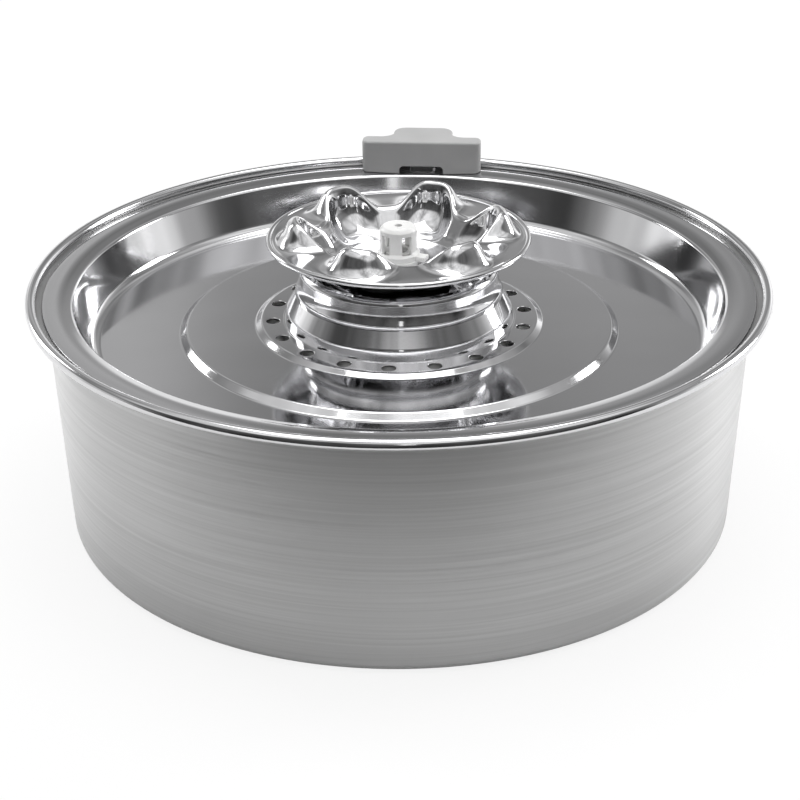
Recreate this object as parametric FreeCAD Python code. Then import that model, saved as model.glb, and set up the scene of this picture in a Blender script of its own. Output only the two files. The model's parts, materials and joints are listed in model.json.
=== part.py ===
import FreeCAD, Part
import math
import os

# Pet water fountain: a steel bowl with a rolled rim, a pressed steel tray that
# drops into it, a steel column with a six-lobed flower dish, a small pump
# inside and a ring filter under the drain holes.
# Millimetres, +Z up, origin at the centre of the bowl's underside, and the
# cord clip at the back (+Y).

Vec = FreeCAD.Vector
ORIGIN = Vec(0, 0, 0)
UP = Vec(0, 0, 1)
BACK = Vec(0, 1, 0)
FULL_TURN = 360.0

# Steel pressings
SHEET = 0.7                 # thickness of the steel sheet
RIM_RADIUS = 130.0          # outside of the bowl's rolled rim
RIM_PLANE = 86.0            # height of the middle of the rolled rim
RIM_BEAD = 1.9              # radius of the rolled bead
RIM_OVERHANG = 7.0          # rim beyond the outside of the wall
BOWL_TAPER = 3.6            # the wall narrows by this much towards the base
BOWL_CORNER = 4.5           # fillet round the base
BOWL_NECK = 2.2             # fillet under the ledge
LEDGE_DROP = 1.7            # ledge top below the rim's middle

# Tray
TRAY_INSET = 5.8            # edge of the tray inside the rim's outside
FLANGE_WIDTH = 10.3         # from the tray's edge to the drinking basin
FLANGE_CROWN_INSET = 4.7    # from the tray's edge to the flange's crown
FLANGE_CROWN = 0.6          # the flange is crowned by this much
FLANGE_BEND = 18.0
BASIN_EDGE_DROP = 0.8
BASIN_EDGE_BEND = 1.6
BASIN_DEPTH = 15.9
BASIN_SLOPE = 5.6           # the basin's wall comes in by this much
FLOOR_FILLET = 4.5
TERRACE_RADIUS = 75.2       # top edge of the first step of the floor
TERRACE_RISE = 2.1
TERRACE_RAMP = 2.4
PLATEAU_RADIUS = 48.8       # top edge of the second step
PLATEAU_RISE = 1.5
PLATEAU_RAMP = 2.2
PRESS_BEND = 1.2            # bend radius at the steps
COLUMN_OPENING = 36.0       # hole in the plateau under the column
DRAIN_COUNT = 18
DRAIN_CIRCLE = 44.8
DRAIN_DIAMETER = 5.0
CORD_NOTCH_WIDTH = 9.0      # notch in the flange under the clip
CORD_NOTCH_DEPTH = 7.4

# Column
COLUMN_FOOT_RADIUS = 40.5
COLUMN_SKIRT_RADIUS = 39.9
COLUMN_SKIRT_HEIGHT = 3.9
COLUMN_SKIRT_BEND = 2.6
COLUMN_NECK_RADIUS = 34.7
COLUMN_NECK_HEIGHT = 12.7
COLUMN_NECK_BEND = 12.0
COLUMN_TOP_RADIUS = 34.0
COLUMN_SHOULDER = 2.0
COLUMN_HEIGHT = 19.3
COLUMN_PORT = 12.0          # hole in the column's top

# Flower dish
GASKET = 1.1                # silicone between column and dish
GASKET_INNER = 12.6
GASKET_OUTER = 18.4
LOBE_COUNT = 6
LOBE_PHASE = 12.4           # degrees from +X to the first lobe
DISH_FLOOR_RADIUS = 20.0
DISH_FLOOR_BORE = 5.3
DISH_RIM_RADIUS = 46.2      # outside of the dish's rolled edge
DISH_RIM_BEAD = 1.0
DISH_RIM_RISE = 9.0         # rim above the dish's floor
CREST_RADIUS = 35.5
CREST_RISE = 17.1           # top of a lobe above the dish's floor
SADDLE_RADIUS = 29.2        # the fold between two lobes
SADDLE_RISE = 9.2
LOBE_INSIDE = [(0.0, 0.0), (0.45, 0.1), (0.8, 0.45), (0.9, 0.87), (1.0, 1.0)]
FOLD_INSIDE = [(0.0, 0.0), (0.38, 0.26), (0.68, 0.68), (0.84, 0.91), (1.0, 1.0)]
LOBE_OUTSIDE = [(0.28, 0.8), (0.53, 0.2), (0.76, -0.04), (1.0, 0.0)]
FOLD_OUTSIDE = [(0.12, 0.9), (0.4, 0.33), (0.75, -0.33), (1.0, 0.0)]
FLOWER_STATIONS = 16        # rings of each lofted skin
FLOWER_STEPS = 72           # points on each ring
BEAD_STATIONS = 13          # rings of the rolled edge
SLOPE_STEP = 0.004          # step for measuring the slope of the skin

# Nozzle and its seat
TAIL_RADIUS = 4.5
TAIL_BORE = 3.3
TAIL_LENGTH = 8.0
TAIL_SEAL_HEIGHT = 1.6
TAIL_SEAL_DEPTH = 0.6
TAIL_SEAL_PROUD = 0.2
SEAT_FLANGE_RADIUS = 11.3
SEAT_FLANGE_BELOW = 2.3
NECK_RADIUS = 5.0
NECK_HEIGHT = 4.4           # neck above the dish's underside
SEAT_NUT_RADIUS = 8.2
SEAT_NUT_HEIGHT = 1.2
SEAT_NUT_SIDES = 12
NOZZLE_BASE_RADIUS = 7.5
NOZZLE_BASE_HEIGHT = 1.8
NOZZLE_WAIST_RADIUS = 6.5
NOZZLE_CAP_RADIUS = 5.4
NOZZLE_HEIGHT = 11.6
NOZZLE_WALL = 1.1
NOZZLE_HOLE = 1.4
WINDOW_COUNT = 5
WINDOW_PHASE = -58.3
WINDOW_WIDTH = 3.6
WINDOW_HEIGHT = 6.6
WINDOW_SILL = 2.6
TAB_LENGTH = 3.2
TAB_WIDTH = 4.0
TAB_PHASE = -20.3

# Pump
PUMP_WIDTH = 44.0
PUMP_HEIGHT = 40.0
PUMP_CORNER = 3.0
HOUSING_LENGTH = 40.0
END_CAP_LENGTH = 4.0
COVER_FRONT = 9.0           # volute cover in front of the outlet's axis
COVER_BACK = 6.0            # volute cover behind the outlet's axis
AXIS_HEIGHT = 20.0          # rotor axis above the pump's underside
VOLUTE_RADIUS = 14.0
VOLUTE_WALL = 2.5
INLET_RADIUS = 5.0
SPIDER_HUB = 3.3
SPIDER_ARM = 1.4
SPIDER_ARMS = 3
OUTLET_RADIUS = 6.0
OUTLET_BORE = 4.0
OUTLET_HEIGHT = 12.0
SEAL_SECTION = 1.0
SEAL_RADIUS = 16.5
ROTOR_CHAMBER_RADIUS = 9.4
ROTOR_CHAMBER_LENGTH = 20.5
SHAFT_RADIUS = 1.15
RUNNING_GAP = 0.05
BUSH_FRONT_RADIUS = 2.0
BUSH_REAR_RADIUS = 3.5
BUSH_POCKET = 1.5
BUSH_LENGTH = 2.6
MAGNET_RADIUS = 8.4
MAGNET_LENGTH = 17.5
ROTOR_TUBE_RADIUS = 3.0
IMPELLER_RADIUS = 12.0
IMPELLER_PLATE = 2.0
IMPELLER_BACK_GAP = 1.5
BLADE_COUNT = 6
BLADE_WIDTH = 5.6
BLADE_THICKNESS = 1.2
CORE_OFFSET = 14.0          # middle of each leg of the laminated core
CORE_THICKNESS = 6.0
CORE_HEIGHT = 14.0
CORE_START = 3.0
COIL_THICKNESS = 2.8
COIL_LENGTH = 8.0
COIL_YOKE_GAP = 1.0
CUP_HEIGHT = 3.2
CUP_RADIUS = 7.5
CUP_NECK = 3.0
CUP_WALL = 1.0
CUP_STEM_RADIUS = 2.4
CUP_STEM_LENGTH = 3.0
CUP_SPREAD = 14.0           # cups this far to each side
CUP_INSET = 7.0             # and this far in from the housing's ends
GLAND_HEIGHT = 12.0         # gland above the rotor axis
GLAND_FLANGE = 4.6
GLAND_NECK = 3.0
GLAND_TIP = 2.5
GLAND_LENGTH = 12.0
GLAND_FLANGE_LENGTH = 2.0
GLAND_BORE = 1.6

# Intake side of the pump
INTAKE_LENGTH = 15.0
INTAKE_WALL = 1.6
INTAKE_SLOTS = 7
INTAKE_SLOT_WIDTH = 2.6
INTAKE_SLOT_MARGIN = 6.0
FOAM_THICKNESS = 8.2
FOAM_CLEARANCE = 0.3
BOSS_RADIUS = 7.0
BOSS_HEIGHT = 2.3
DIAL_RADIUS = 11.0
DIAL_GAP = 0.3
DIAL_PLATE = 1.2
DIAL_TAB_WIDTH = 4.0
DIAL_TAB_REACH = 5.0

# Riser
RISER_RADIUS = 7.0
RISER_BORE = 5.0
RISER_TOP_GAP = 0.5
COUPLING_WALL = 2.0
COUPLING_GRIP = 9.0

# Filter
HANGER_BORE = 31.5
HANGER_RADIUS = 38.4
HANGER_DEPTH = 4.5
HANGER_COLLAR_WALL = 2.0
HOOK_COUNT = 3
HOOK_ANGLE = 24.0
HOOK_HEIGHT = 1.5
HOOK_REACH = 1.2
COLLAR_CLEARANCE = 0.4
LUG_ANGLE = 14.0
LUG_REACH = 1.8
LUG_HEIGHT = 2.0
LUG_RAISE = 0.5
LUG_SIDE_GAP = 1.0          # degrees on each side of a lug in its channel
TWIST_ANGLE = 25.0
FIT_GAP = 0.3               # gap between pieces that move past each other
BASKET_INNER_WALL = 3.3
BASKET_WIDTH = 14.0         # from the inner wall to the outside of the basket
BASKET_WALL = 1.6
BASKET_HEIGHT = 20.9
BASKET_FLOOR = 1.6
BASKET_SLOTS = 24
BASKET_SLOT_WIDTH = 2.6
CASE_WALL = 1.1
CASE_HEIGHT = 11.0
CASE_LID = 1.2
CASE_SLOT_WIDTH = 2.2
RESIN_DEPTH = 2.8
CARBON_DEPTH = 3.0

# Cord clip
CLIP_WIDTH = 48.0
CLIP_INSET = 0.8            # front face of the clip behind the basin's edge
CLIP_DEPTH = 8.0
CLIP_HEIGHT = 13.8          # clip above the basin's edge
CLIP_CORNER = 2.6
CLIP_SHOULDER = 5.0
CLIP_TOP_ROUND = 1.0
CLIP_EAR = 12.0             # the wide front beyond the tongue, on each side
HOOK_WALL = 2.4
HOOK_ROOM = 2.0             # room between the rim and the hook, and the clip's back
CLIP_WALL = 2.0
CLIP_PARTING = 5.4          # height of the housing's tongue above the rim's plane
MOUSE_HOLE_WIDTH = 17.8
MOUSE_HOLE_HEIGHT = 3.6
MOUSE_HOLE_CORNER = 1.8
CHANNEL_WIDTH = 10.0
CHANNEL_HEIGHT = 6.9        # cord channel above the rolled rim
HOOK_DEPTH = 6.0            # hook below the rim's plane
SEATING_GAP = 0.2

# Places that follow from the sizes above
BOWL_TOP_RADIUS = RIM_RADIUS - RIM_OVERHANG
BOWL_BASE_RADIUS = BOWL_TOP_RADIUS - BOWL_TAPER
TRAY_RADIUS = RIM_RADIUS - TRAY_INSET
FLANGE_CROWN_RADIUS = TRAY_RADIUS - FLANGE_CROWN_INSET
BASIN_RADIUS = TRAY_RADIUS - FLANGE_WIDTH
FLOOR_RADIUS = BASIN_RADIUS - BASIN_SLOPE
CLIP_FRONT = BASIN_RADIUS + CLIP_INSET
TONGUE_END = RIM_RADIUS + SEATING_GAP + HOOK_ROOM + HOOK_WALL
TONGUE_WIDTH = CLIP_WIDTH - 2.0 * CLIP_EAR
LEDGE_TOP = RIM_PLANE - LEDGE_DROP
FLANGE_TOP = LEDGE_TOP + SHEET
BASIN_EDGE = FLANGE_TOP - BASIN_EDGE_DROP
FLOOR_LEVEL = BASIN_EDGE - BASIN_DEPTH
TERRACE_LEVEL = FLOOR_LEVEL + TERRACE_RISE
PLATEAU_LEVEL = TERRACE_LEVEL + PLATEAU_RISE
COLUMN_TOP = PLATEAU_LEVEL + COLUMN_HEIGHT
DISH_UNDERSIDE = COLUMN_TOP + GASKET
DISH_FLOOR = DISH_UNDERSIDE + SHEET
DISH_RIM = DISH_FLOOR + DISH_RIM_RISE
SEAT_FLANGE_BOTTOM = DISH_UNDERSIDE - SEAT_FLANGE_BELOW
PUMP_BASE = SHEET + CUP_HEIGHT
PUMP_TOP = PUMP_BASE + PUMP_HEIGHT
AXIS = PUMP_BASE + AXIS_HEIGHT
HOUSING_START = COVER_BACK
HOUSING_END = HOUSING_START + HOUSING_LENGTH
OUTLET_TOP = PUMP_TOP + OUTLET_HEIGHT
RISER_BOTTOM = OUTLET_TOP + RISER_TOP_GAP
RISER_TOP = SEAT_FLANGE_BOTTOM - RISER_TOP_GAP
HANGER_TOP = PLATEAU_LEVEL - SHEET
HANGER_BOTTOM = HANGER_TOP - HANGER_DEPTH
BASKET_INNER = HANGER_RADIUS + FIT_GAP
BASKET_RADIUS = BASKET_INNER + BASKET_INNER_WALL + BASKET_WIDTH
BASKET_TOP = HANGER_TOP - FIT_GAP
BASKET_BOTTOM = BASKET_TOP - BASKET_HEIGHT
BASKET_OUTER_TOP = TERRACE_LEVEL - SHEET - FIT_GAP
CASE_INNER = BASKET_INNER + BASKET_INNER_WALL + FIT_GAP
CASE_OUTER = BASKET_RADIUS - BASKET_WALL - FIT_GAP
CASE_BOTTOM = BASKET_BOTTOM + BASKET_FLOOR
CASE_TOP = CASE_BOTTOM + CASE_HEIGHT


# Shared helpers

def export(shape, node):
    """Write one sub-part to its own file."""
    shape.exportStep("parts/" + node + ".step")


def flat(point):
    """A point (radius, height) of a turned profile, in the XZ plane."""
    return Vec(point[0], 0, point[1])


def unit(a, b):
    length = math.hypot(b[0] - a[0], b[1] - a[1])
    return ((b[0] - a[0]) / length, (b[1] - a[1]) / length)


def offset_line(points, distance):
    """The same open line moved sideways, to the left of its direction."""
    moved = []
    last = len(points) - 1
    for i, point in enumerate(points):
        before = unit(points[max(i - 1, 0)], points[max(i, 1)])
        after = unit(points[min(i, last - 1)], points[min(i + 1, last)])
        normal_x = -(before[1] + after[1])
        normal_y = before[0] + after[0]
        size = normal_x * normal_x + normal_y * normal_y
        stretch = 2.0 * distance / size
        moved.append((point[0] + normal_x * stretch, point[1] + normal_y * stretch))
    return moved


def turn_sign(a, b, c):
    """+1 where the line a-b-c bends left, -1 where it bends right."""
    u = unit(a, b)
    v = unit(b, c)
    return 1.0 if u[0] * v[1] - u[1] * v[0] > 0 else -1.0


def rounded_edges(points, radii):
    """Straight runs joined by tangent arcs: one radius for each inner point."""
    edges = []
    start = points[0]
    for i in range(1, len(points) - 1):
        a = points[i - 1]
        b = points[i]
        c = points[i + 1]
        u = unit(b, a)
        v = unit(b, c)
        half = math.acos(max(-1.0, min(1.0, u[0] * v[0] + u[1] * v[1]))) / 2.0
        reach = radii[i - 1] / math.tan(half)
        entry = (b[0] + u[0] * reach, b[1] + u[1] * reach)
        leave = (b[0] + v[0] * reach, b[1] + v[1] * reach)
        middle = unit(b, ((entry[0] + leave[0]) / 2.0, (entry[1] + leave[1]) / 2.0))
        near = radii[i - 1] / math.sin(half) - radii[i - 1]
        top = (b[0] + middle[0] * near, b[1] + middle[1] * near)
        edges.append(Part.makeLine(flat(start), flat(entry)))
        edges.append(Part.Arc(flat(entry), flat(top), flat(leave)).toShape())
        start = leave
    edges.append(Part.makeLine(flat(start), flat(points[-1])))
    return edges


def pressed_sheet(points, bends, thickness):
    """A pressing turned about Z. points is its face on the right-hand side of
    the line, and the sheet's thickness lies to the left."""
    inner_points = offset_line(points, thickness)
    inner_bends = []
    for i, bend in enumerate(bends):
        sign = turn_sign(points[i], points[i + 1], points[i + 2])
        inner_bends.append(max(bend - sign * thickness, thickness / 10.0))
    edges = rounded_edges(points, bends)
    edges.append(Part.makeLine(flat(points[-1]), flat(inner_points[-1])))
    edges.extend(rounded_edges(inner_points, inner_bends))
    edges.append(Part.makeLine(flat(inner_points[0]), flat(points[0])))
    wire = Part.Wire(Part.__sortEdges__(edges))
    return Part.Face(wire).revolve(ORIGIN, UP, FULL_TURN)


def turned(points):
    """A solid turned about Z from a closed outline of (radius, height)."""
    outline = [flat(p) for p in points]
    outline.append(outline[0])
    return Part.Face(Part.makePolygon(outline)).revolve(ORIGIN, UP, FULL_TURN)


def tube(outer, inner, bottom, top):
    """An upright tube about the bowl's axis."""
    body = Part.makeCylinder(outer, top - bottom, Vec(0, 0, bottom))
    return body.cut(Part.makeCylinder(inner, top - bottom, Vec(0, 0, bottom)))


def rod(radius, start, end):
    """A cylinder along the rotor's axis, from y = start to y = end."""
    return Part.makeCylinder(radius, end - start, Vec(0, start, AXIS), BACK)


def block(x0, x1, y0, y1, z0, z1):
    return Part.makeBox(x1 - x0, y1 - y0, z1 - z0, Vec(x0, y0, z0))


def sector(inner, outer, bottom, top, middle, width):
    """A piece of an upright ring, width degrees wide, about the angle middle."""
    face = Part.makePolygon([Vec(inner, 0, bottom), Vec(outer, 0, bottom),
                             Vec(outer, 0, top), Vec(inner, 0, top),
                             Vec(inner, 0, bottom)])
    piece = Part.Face(face).revolve(ORIGIN, UP, width)
    piece.rotate(ORIGIN, UP, middle - width / 2.0)
    return piece


def around(shape, count, start=0.0):
    """Copies of a shape, evenly spaced about Z."""
    copies = []
    for i in range(count):
        copy = shape.copy()
        copy.rotate(ORIGIN, UP, start + i * FULL_TURN / count)
        copies.append(copy)
    return copies


def upright_edges(shape):
    """The straight edges that run along Z."""
    found = []
    for edge in shape.Edges:
        span = edge.BoundBox
        if span.XLength < 1e-4 and span.YLength < 1e-4:
            found.append(edge)
    return found


def lying_edges(shape, height):
    """The edges that lie flat at one height."""
    found = []
    for edge in shape.Edges:
        span = edge.BoundBox
        if abs(span.ZMin - height) < 1e-4 and abs(span.ZMax - height) < 1e-4:
            found.append(edge)
    return found


# Bowl and tray

def make_bowl():
    """Deep-drawn bowl: flat base, nearly straight wall, ledge and rolled rim."""
    bead_middle = RIM_RADIUS - RIM_BEAD
    ledge_under = LEDGE_TOP - SHEET
    outside = [(0.0, 0.0),
               (BOWL_BASE_RADIUS, 0.0),
               (BOWL_TOP_RADIUS, ledge_under),
               (bead_middle, ledge_under)]
    shell = pressed_sheet(outside, [BOWL_CORNER, BOWL_NECK], SHEET)
    bead = Part.makeTorus(bead_middle, RIM_BEAD, Vec(0, 0, RIM_PLANE))
    return shell.fuse(bead).removeSplitter()


def tray_line():
    """The tray's upper face, from the middle outwards."""
    return [(COLUMN_OPENING, PLATEAU_LEVEL),
            (PLATEAU_RADIUS, PLATEAU_LEVEL),
            (PLATEAU_RADIUS + PLATEAU_RAMP, TERRACE_LEVEL),
            (TERRACE_RADIUS, TERRACE_LEVEL),
            (TERRACE_RADIUS + TERRACE_RAMP, FLOOR_LEVEL),
            (FLOOR_RADIUS, FLOOR_LEVEL),
            (BASIN_RADIUS, BASIN_EDGE),
            (FLANGE_CROWN_RADIUS, FLANGE_TOP + FLANGE_CROWN),
            (TRAY_RADIUS, FLANGE_TOP)]


def tray_bends():
    return [PRESS_BEND, PRESS_BEND, PRESS_BEND, PRESS_BEND,
            FLOOR_FILLET, BASIN_EDGE_BEND, FLANGE_BEND]


def make_tray():
    """Pressed tray: crowned flange, basin and a floor that steps up twice."""
    underside = offset_line(tray_line(), -SHEET)
    bends = []
    upper = tray_line()
    for i, bend in enumerate(tray_bends()):
        bends.append(bend + turn_sign(upper[i], upper[i + 1], upper[i + 2]) * SHEET)
    tray = pressed_sheet(underside, [max(b, SHEET) for b in bends], SHEET)
    hole = Part.makeCylinder(DRAIN_DIAMETER / 2.0, 4.0 * SHEET,
                             Vec(DRAIN_CIRCLE, 0, PLATEAU_LEVEL - 2.0 * SHEET))
    for drain in around(hole, DRAIN_COUNT, -FULL_TURN / 4.0):
        tray = tray.cut(drain)
    notch_end = TRAY_RADIUS - CORD_NOTCH_DEPTH
    notch = block(-CORD_NOTCH_WIDTH / 2.0, CORD_NOTCH_WIDTH / 2.0,
                  notch_end, TRAY_RADIUS + SHEET,
                  BASIN_EDGE - SHEET, RIM_PLANE + SHEET)
    return tray.cut(notch)


def make_column():
    """Spun column: a short skirt on the plateau, a waist and a closed top."""
    slope = (COLUMN_FOOT_RADIUS - COLUMN_SKIRT_RADIUS) / COLUMN_SKIRT_HEIGHT
    outside = [(COLUMN_FOOT_RADIUS + slope * SHEET, PLATEAU_LEVEL - SHEET),
               (COLUMN_SKIRT_RADIUS, PLATEAU_LEVEL + COLUMN_SKIRT_HEIGHT),
               (COLUMN_NECK_RADIUS, PLATEAU_LEVEL + COLUMN_NECK_HEIGHT),
               (COLUMN_TOP_RADIUS, COLUMN_TOP),
               (COLUMN_PORT, COLUMN_TOP)]
    bends = [COLUMN_SKIRT_BEND, COLUMN_NECK_BEND, COLUMN_SHOULDER]
    column = pressed_sheet(outside, bends, SHEET)
    under_foot = Part.makeCylinder(2.0 * COLUMN_FOOT_RADIUS, 2.0 * SHEET,
                                   Vec(0, 0, PLATEAU_LEVEL - 2.0 * SHEET))
    return column.cut(under_foot)


# Flower dish

def spline_value(values, t):
    """A smooth curve through evenly spaced values, for t from 0 to 1."""
    spans = len(values) - 1
    i = min(int(t * spans), spans - 1)
    u = t * spans - i
    a = values[max(i - 1, 0)]
    b = values[i]
    c = values[i + 1]
    d = values[min(i + 2, spans)]
    cubic = (3.0 * (b - c) + d - a) * u ** 3
    square = (2.0 * a - 5.0 * b + 4.0 * c - d) * u ** 2
    return 0.5 * (2.0 * b + (c - a) * u + square + cubic)


def dish_edge():
    """Radius at which the sheet's faces meet the rolled edge."""
    half = SHEET / 2.0
    return DISH_RIM_RADIUS - DISH_RIM_BEAD - math.sqrt(DISH_RIM_BEAD ** 2 - half ** 2)


def flower_line(top_radius, top_rise, inside, outside):
    """A section of the dish's upper face, as (radius, rise above its floor),
    over a top at the given radius and rise. The lists hold shares of the way
    from the floor to the top, and of the way from the top to the edge."""
    line = []
    for width, height in inside:
        line.append((DISH_FLOOR_RADIUS + width * (top_radius - DISH_FLOOR_RADIUS),
                     height * top_rise))
    for width, height in outside:
        line.append((top_radius + width * (dish_edge() - top_radius),
                     DISH_RIM_RISE + height * (top_rise - DISH_RIM_RISE)))
    return line


def flower_point(t, angle):
    """A point of the upper face: t runs from the floor's edge to the rim."""
    lobe = flower_line(CREST_RADIUS, CREST_RISE, LOBE_INSIDE, LOBE_OUTSIDE)
    fold = flower_line(SADDLE_RADIUS, SADDLE_RISE, FOLD_INSIDE, FOLD_OUTSIDE)
    wave = 0.5 + 0.5 * math.cos(LOBE_COUNT * (angle - math.radians(LOBE_PHASE)))
    weight = wave * wave * (3.0 - 2.0 * wave)
    radius = (weight * spline_value([p[0] for p in lobe], t)
              + (1.0 - weight) * spline_value([p[0] for p in fold], t))
    rise = (weight * spline_value([p[1] for p in lobe], t)
            + (1.0 - weight) * spline_value([p[1] for p in fold], t))
    return Vec(radius * math.cos(angle), radius * math.sin(angle), DISH_FLOOR + rise)


def skin_normal(t, angle):
    """Direction away from the upper face, straight up at its two ends."""
    if t <= 0.0 or t >= 1.0:
        return UP
    outer = flower_point(min(t + SLOPE_STEP, 1.0), angle)
    inner = flower_point(max(t - SLOPE_STEP, 0.0), angle)
    left = flower_point(t, angle + SLOPE_STEP)
    right = flower_point(t, angle - SLOPE_STEP)
    normal = (outer - inner).cross(left - right)
    normal.normalize()
    return normal


def closed_curve(points):
    curve = Part.BSplineCurve()
    curve.interpolate(Points=points, PeriodicFlag=True)
    return Part.Wire([curve.toShape()])


def ring_angles():
    return [2.0 * math.pi * k / FLOWER_STEPS for k in range(FLOWER_STEPS)]


def flower_ring(t, depth):
    """A closed curve of the skin, depth below the upper face along its normal."""
    return closed_curve([flower_point(t, angle) - skin_normal(t, angle) * depth
                         for angle in ring_angles()])


def bead_rings(first, last):
    """Rings of the rolled edge, from the sheet's upper face round to its lower one."""
    middle = DISH_RIM - SHEET / 2.0
    start = -math.acos(SHEET / 2.0 / DISH_RIM_BEAD)
    sweep = math.pi - 2.0 * start
    rings = [first]
    for k in range(1, BEAD_STATIONS - 1):
        turn = start + sweep * k / (BEAD_STATIONS - 1.0)
        radius = DISH_RIM_RADIUS - DISH_RIM_BEAD + DISH_RIM_BEAD * math.sin(turn)
        height = middle + DISH_RIM_BEAD * math.cos(turn)
        rings.append(closed_curve([Vec(radius * math.cos(a), radius * math.sin(a), height)
                                   for a in ring_angles()]))
    rings.append(last)
    return rings


def make_flower_dish():
    """Stamped dish: a flat floor, six lobes and a rolled edge."""
    faces = []
    skins = []
    for depth in (0.0, SHEET):
        rings = [flower_ring(k / (FLOWER_STATIONS - 1.0), depth) for k in range(FLOWER_STATIONS)]
        faces.extend(Part.makeLoft(rings, False, False).Faces)
        skins.append(rings)
    upper, lower = skins
    faces.extend(Part.makeLoft(bead_rings(upper[-1], lower[-1]), False, False).Faces)
    bore = []
    for height in (DISH_FLOOR, DISH_UNDERSIDE):
        bore.append(Part.Wire([Part.makeCircle(DISH_FLOOR_BORE, Vec(0, 0, height))]))
    faces.append(Part.makeRuledSurface(bore[0].Edges[0], bore[1].Edges[0]))
    faces.append(Part.makeFace([upper[0], bore[0]], "Part::FaceMakerBullseye"))
    faces.append(Part.makeFace([lower[0], bore[1]], "Part::FaceMakerBullseye"))
    shell = Part.makeShell(faces)
    shell.sewShape()
    dish = Part.makeSolid(Part.makeShell(shell.Faces))
    if dish.Volume < 0:
        dish.reverse()
    return dish


def make_nozzle_seat():
    """White bush through the dish: tail for the riser, flange and neck."""
    outline = [(TAIL_BORE, SEAT_FLANGE_BOTTOM - TAIL_LENGTH),
               (TAIL_RADIUS, SEAT_FLANGE_BOTTOM - TAIL_LENGTH),
               (TAIL_RADIUS, SEAT_FLANGE_BOTTOM),
               (SEAT_FLANGE_RADIUS, SEAT_FLANGE_BOTTOM),
               (SEAT_FLANGE_RADIUS, DISH_UNDERSIDE),
               (NECK_RADIUS, DISH_UNDERSIDE),
               (NECK_RADIUS, DISH_UNDERSIDE + NECK_HEIGHT),
               (TAIL_BORE, DISH_UNDERSIDE + NECK_HEIGHT)]
    seal_bottom = SEAT_FLANGE_BOTTOM - TAIL_LENGTH / 2.0
    groove = tube(TAIL_RADIUS + SHEET, TAIL_RADIUS - TAIL_SEAL_DEPTH,
                  seal_bottom, seal_bottom + TAIL_SEAL_HEIGHT)
    return turned(outline).cut(groove)


def make_tail_seal():
    """Ring seal in the groove of the tail."""
    bottom = SEAT_FLANGE_BOTTOM - TAIL_LENGTH / 2.0
    return tube(TAIL_RADIUS + TAIL_SEAL_PROUD, TAIL_RADIUS - TAIL_SEAL_DEPTH,
                bottom, bottom + TAIL_SEAL_HEIGHT)


def make_seat_nut():
    """Flat nut that clamps the dish to the seat."""
    corners = []
    for i in range(SEAT_NUT_SIDES + 1):
        angle = 2.0 * math.pi * i / SEAT_NUT_SIDES
        corners.append(Vec(SEAT_NUT_RADIUS * math.cos(angle),
                           SEAT_NUT_RADIUS * math.sin(angle), DISH_FLOOR))
    nut = Part.Face(Part.makePolygon(corners)).extrude(Vec(0, 0, SEAT_NUT_HEIGHT))
    bore = Part.makeCylinder(NECK_RADIUS + RUNNING_GAP, SEAT_NUT_HEIGHT, Vec(0, 0, DISH_FLOOR))
    return nut.cut(bore)


def make_nozzle():
    """Cage over the neck: base ring, five windows, cap with a hole and a tab."""
    bottom = DISH_FLOOR + SEAT_NUT_HEIGHT
    shoulder = bottom + NOZZLE_BASE_HEIGHT
    top = bottom + NOZZLE_HEIGHT
    chamfer = NOZZLE_WAIST_RADIUS - NOZZLE_CAP_RADIUS
    inner = NOZZLE_WAIST_RADIUS - NOZZLE_WALL
    outline = [(NECK_RADIUS + FIT_GAP, bottom),
               (NOZZLE_BASE_RADIUS, bottom),
               (NOZZLE_BASE_RADIUS, shoulder),
               (NOZZLE_WAIST_RADIUS, shoulder + chamfer),
               (NOZZLE_WAIST_RADIUS, top - chamfer),
               (NOZZLE_CAP_RADIUS, top),
               (NOZZLE_HOLE, top),
               (NOZZLE_HOLE, top - NOZZLE_WALL),
               (inner - chamfer, top - NOZZLE_WALL),
               (inner, top - NOZZLE_WALL - chamfer),
               (inner, shoulder),
               (NECK_RADIUS + FIT_GAP, shoulder)]
    cage = turned(outline)
    sill = bottom + WINDOW_SILL
    window = block(NECK_RADIUS / 2.0, NOZZLE_BASE_RADIUS, -WINDOW_WIDTH / 2.0, WINDOW_WIDTH / 2.0,
                   sill, sill + WINDOW_HEIGHT)
    for opening in around(window, WINDOW_COUNT, WINDOW_PHASE):
        cage = cage.cut(opening)
    tab = block(NOZZLE_BASE_RADIUS - NOZZLE_WALL, NOZZLE_BASE_RADIUS + TAB_LENGTH,
                -TAB_WIDTH / 2.0, TAB_WIDTH / 2.0, bottom, shoulder)
    tab.rotate(ORIGIN, UP, TAB_PHASE)
    return cage.fuse(tab)


# Pump

def pump_blank(start, end):
    """A length of the pump's outer block, with rounded long edges."""
    blank = block(-PUMP_WIDTH / 2.0, PUMP_WIDTH / 2.0, start, end, PUMP_BASE, PUMP_TOP)
    long_edges = [e for e in blank.Edges if e.BoundBox.YLength > 1e-3]
    return blank.makeFillet(PUMP_CORNER, long_edges)


def cup_places():
    places = []
    for x in (-CUP_SPREAD, CUP_SPREAD):
        for y in (HOUSING_START + CUP_INSET, HOUSING_END - CUP_INSET):
            places.append((x, y))
    return places


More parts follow.
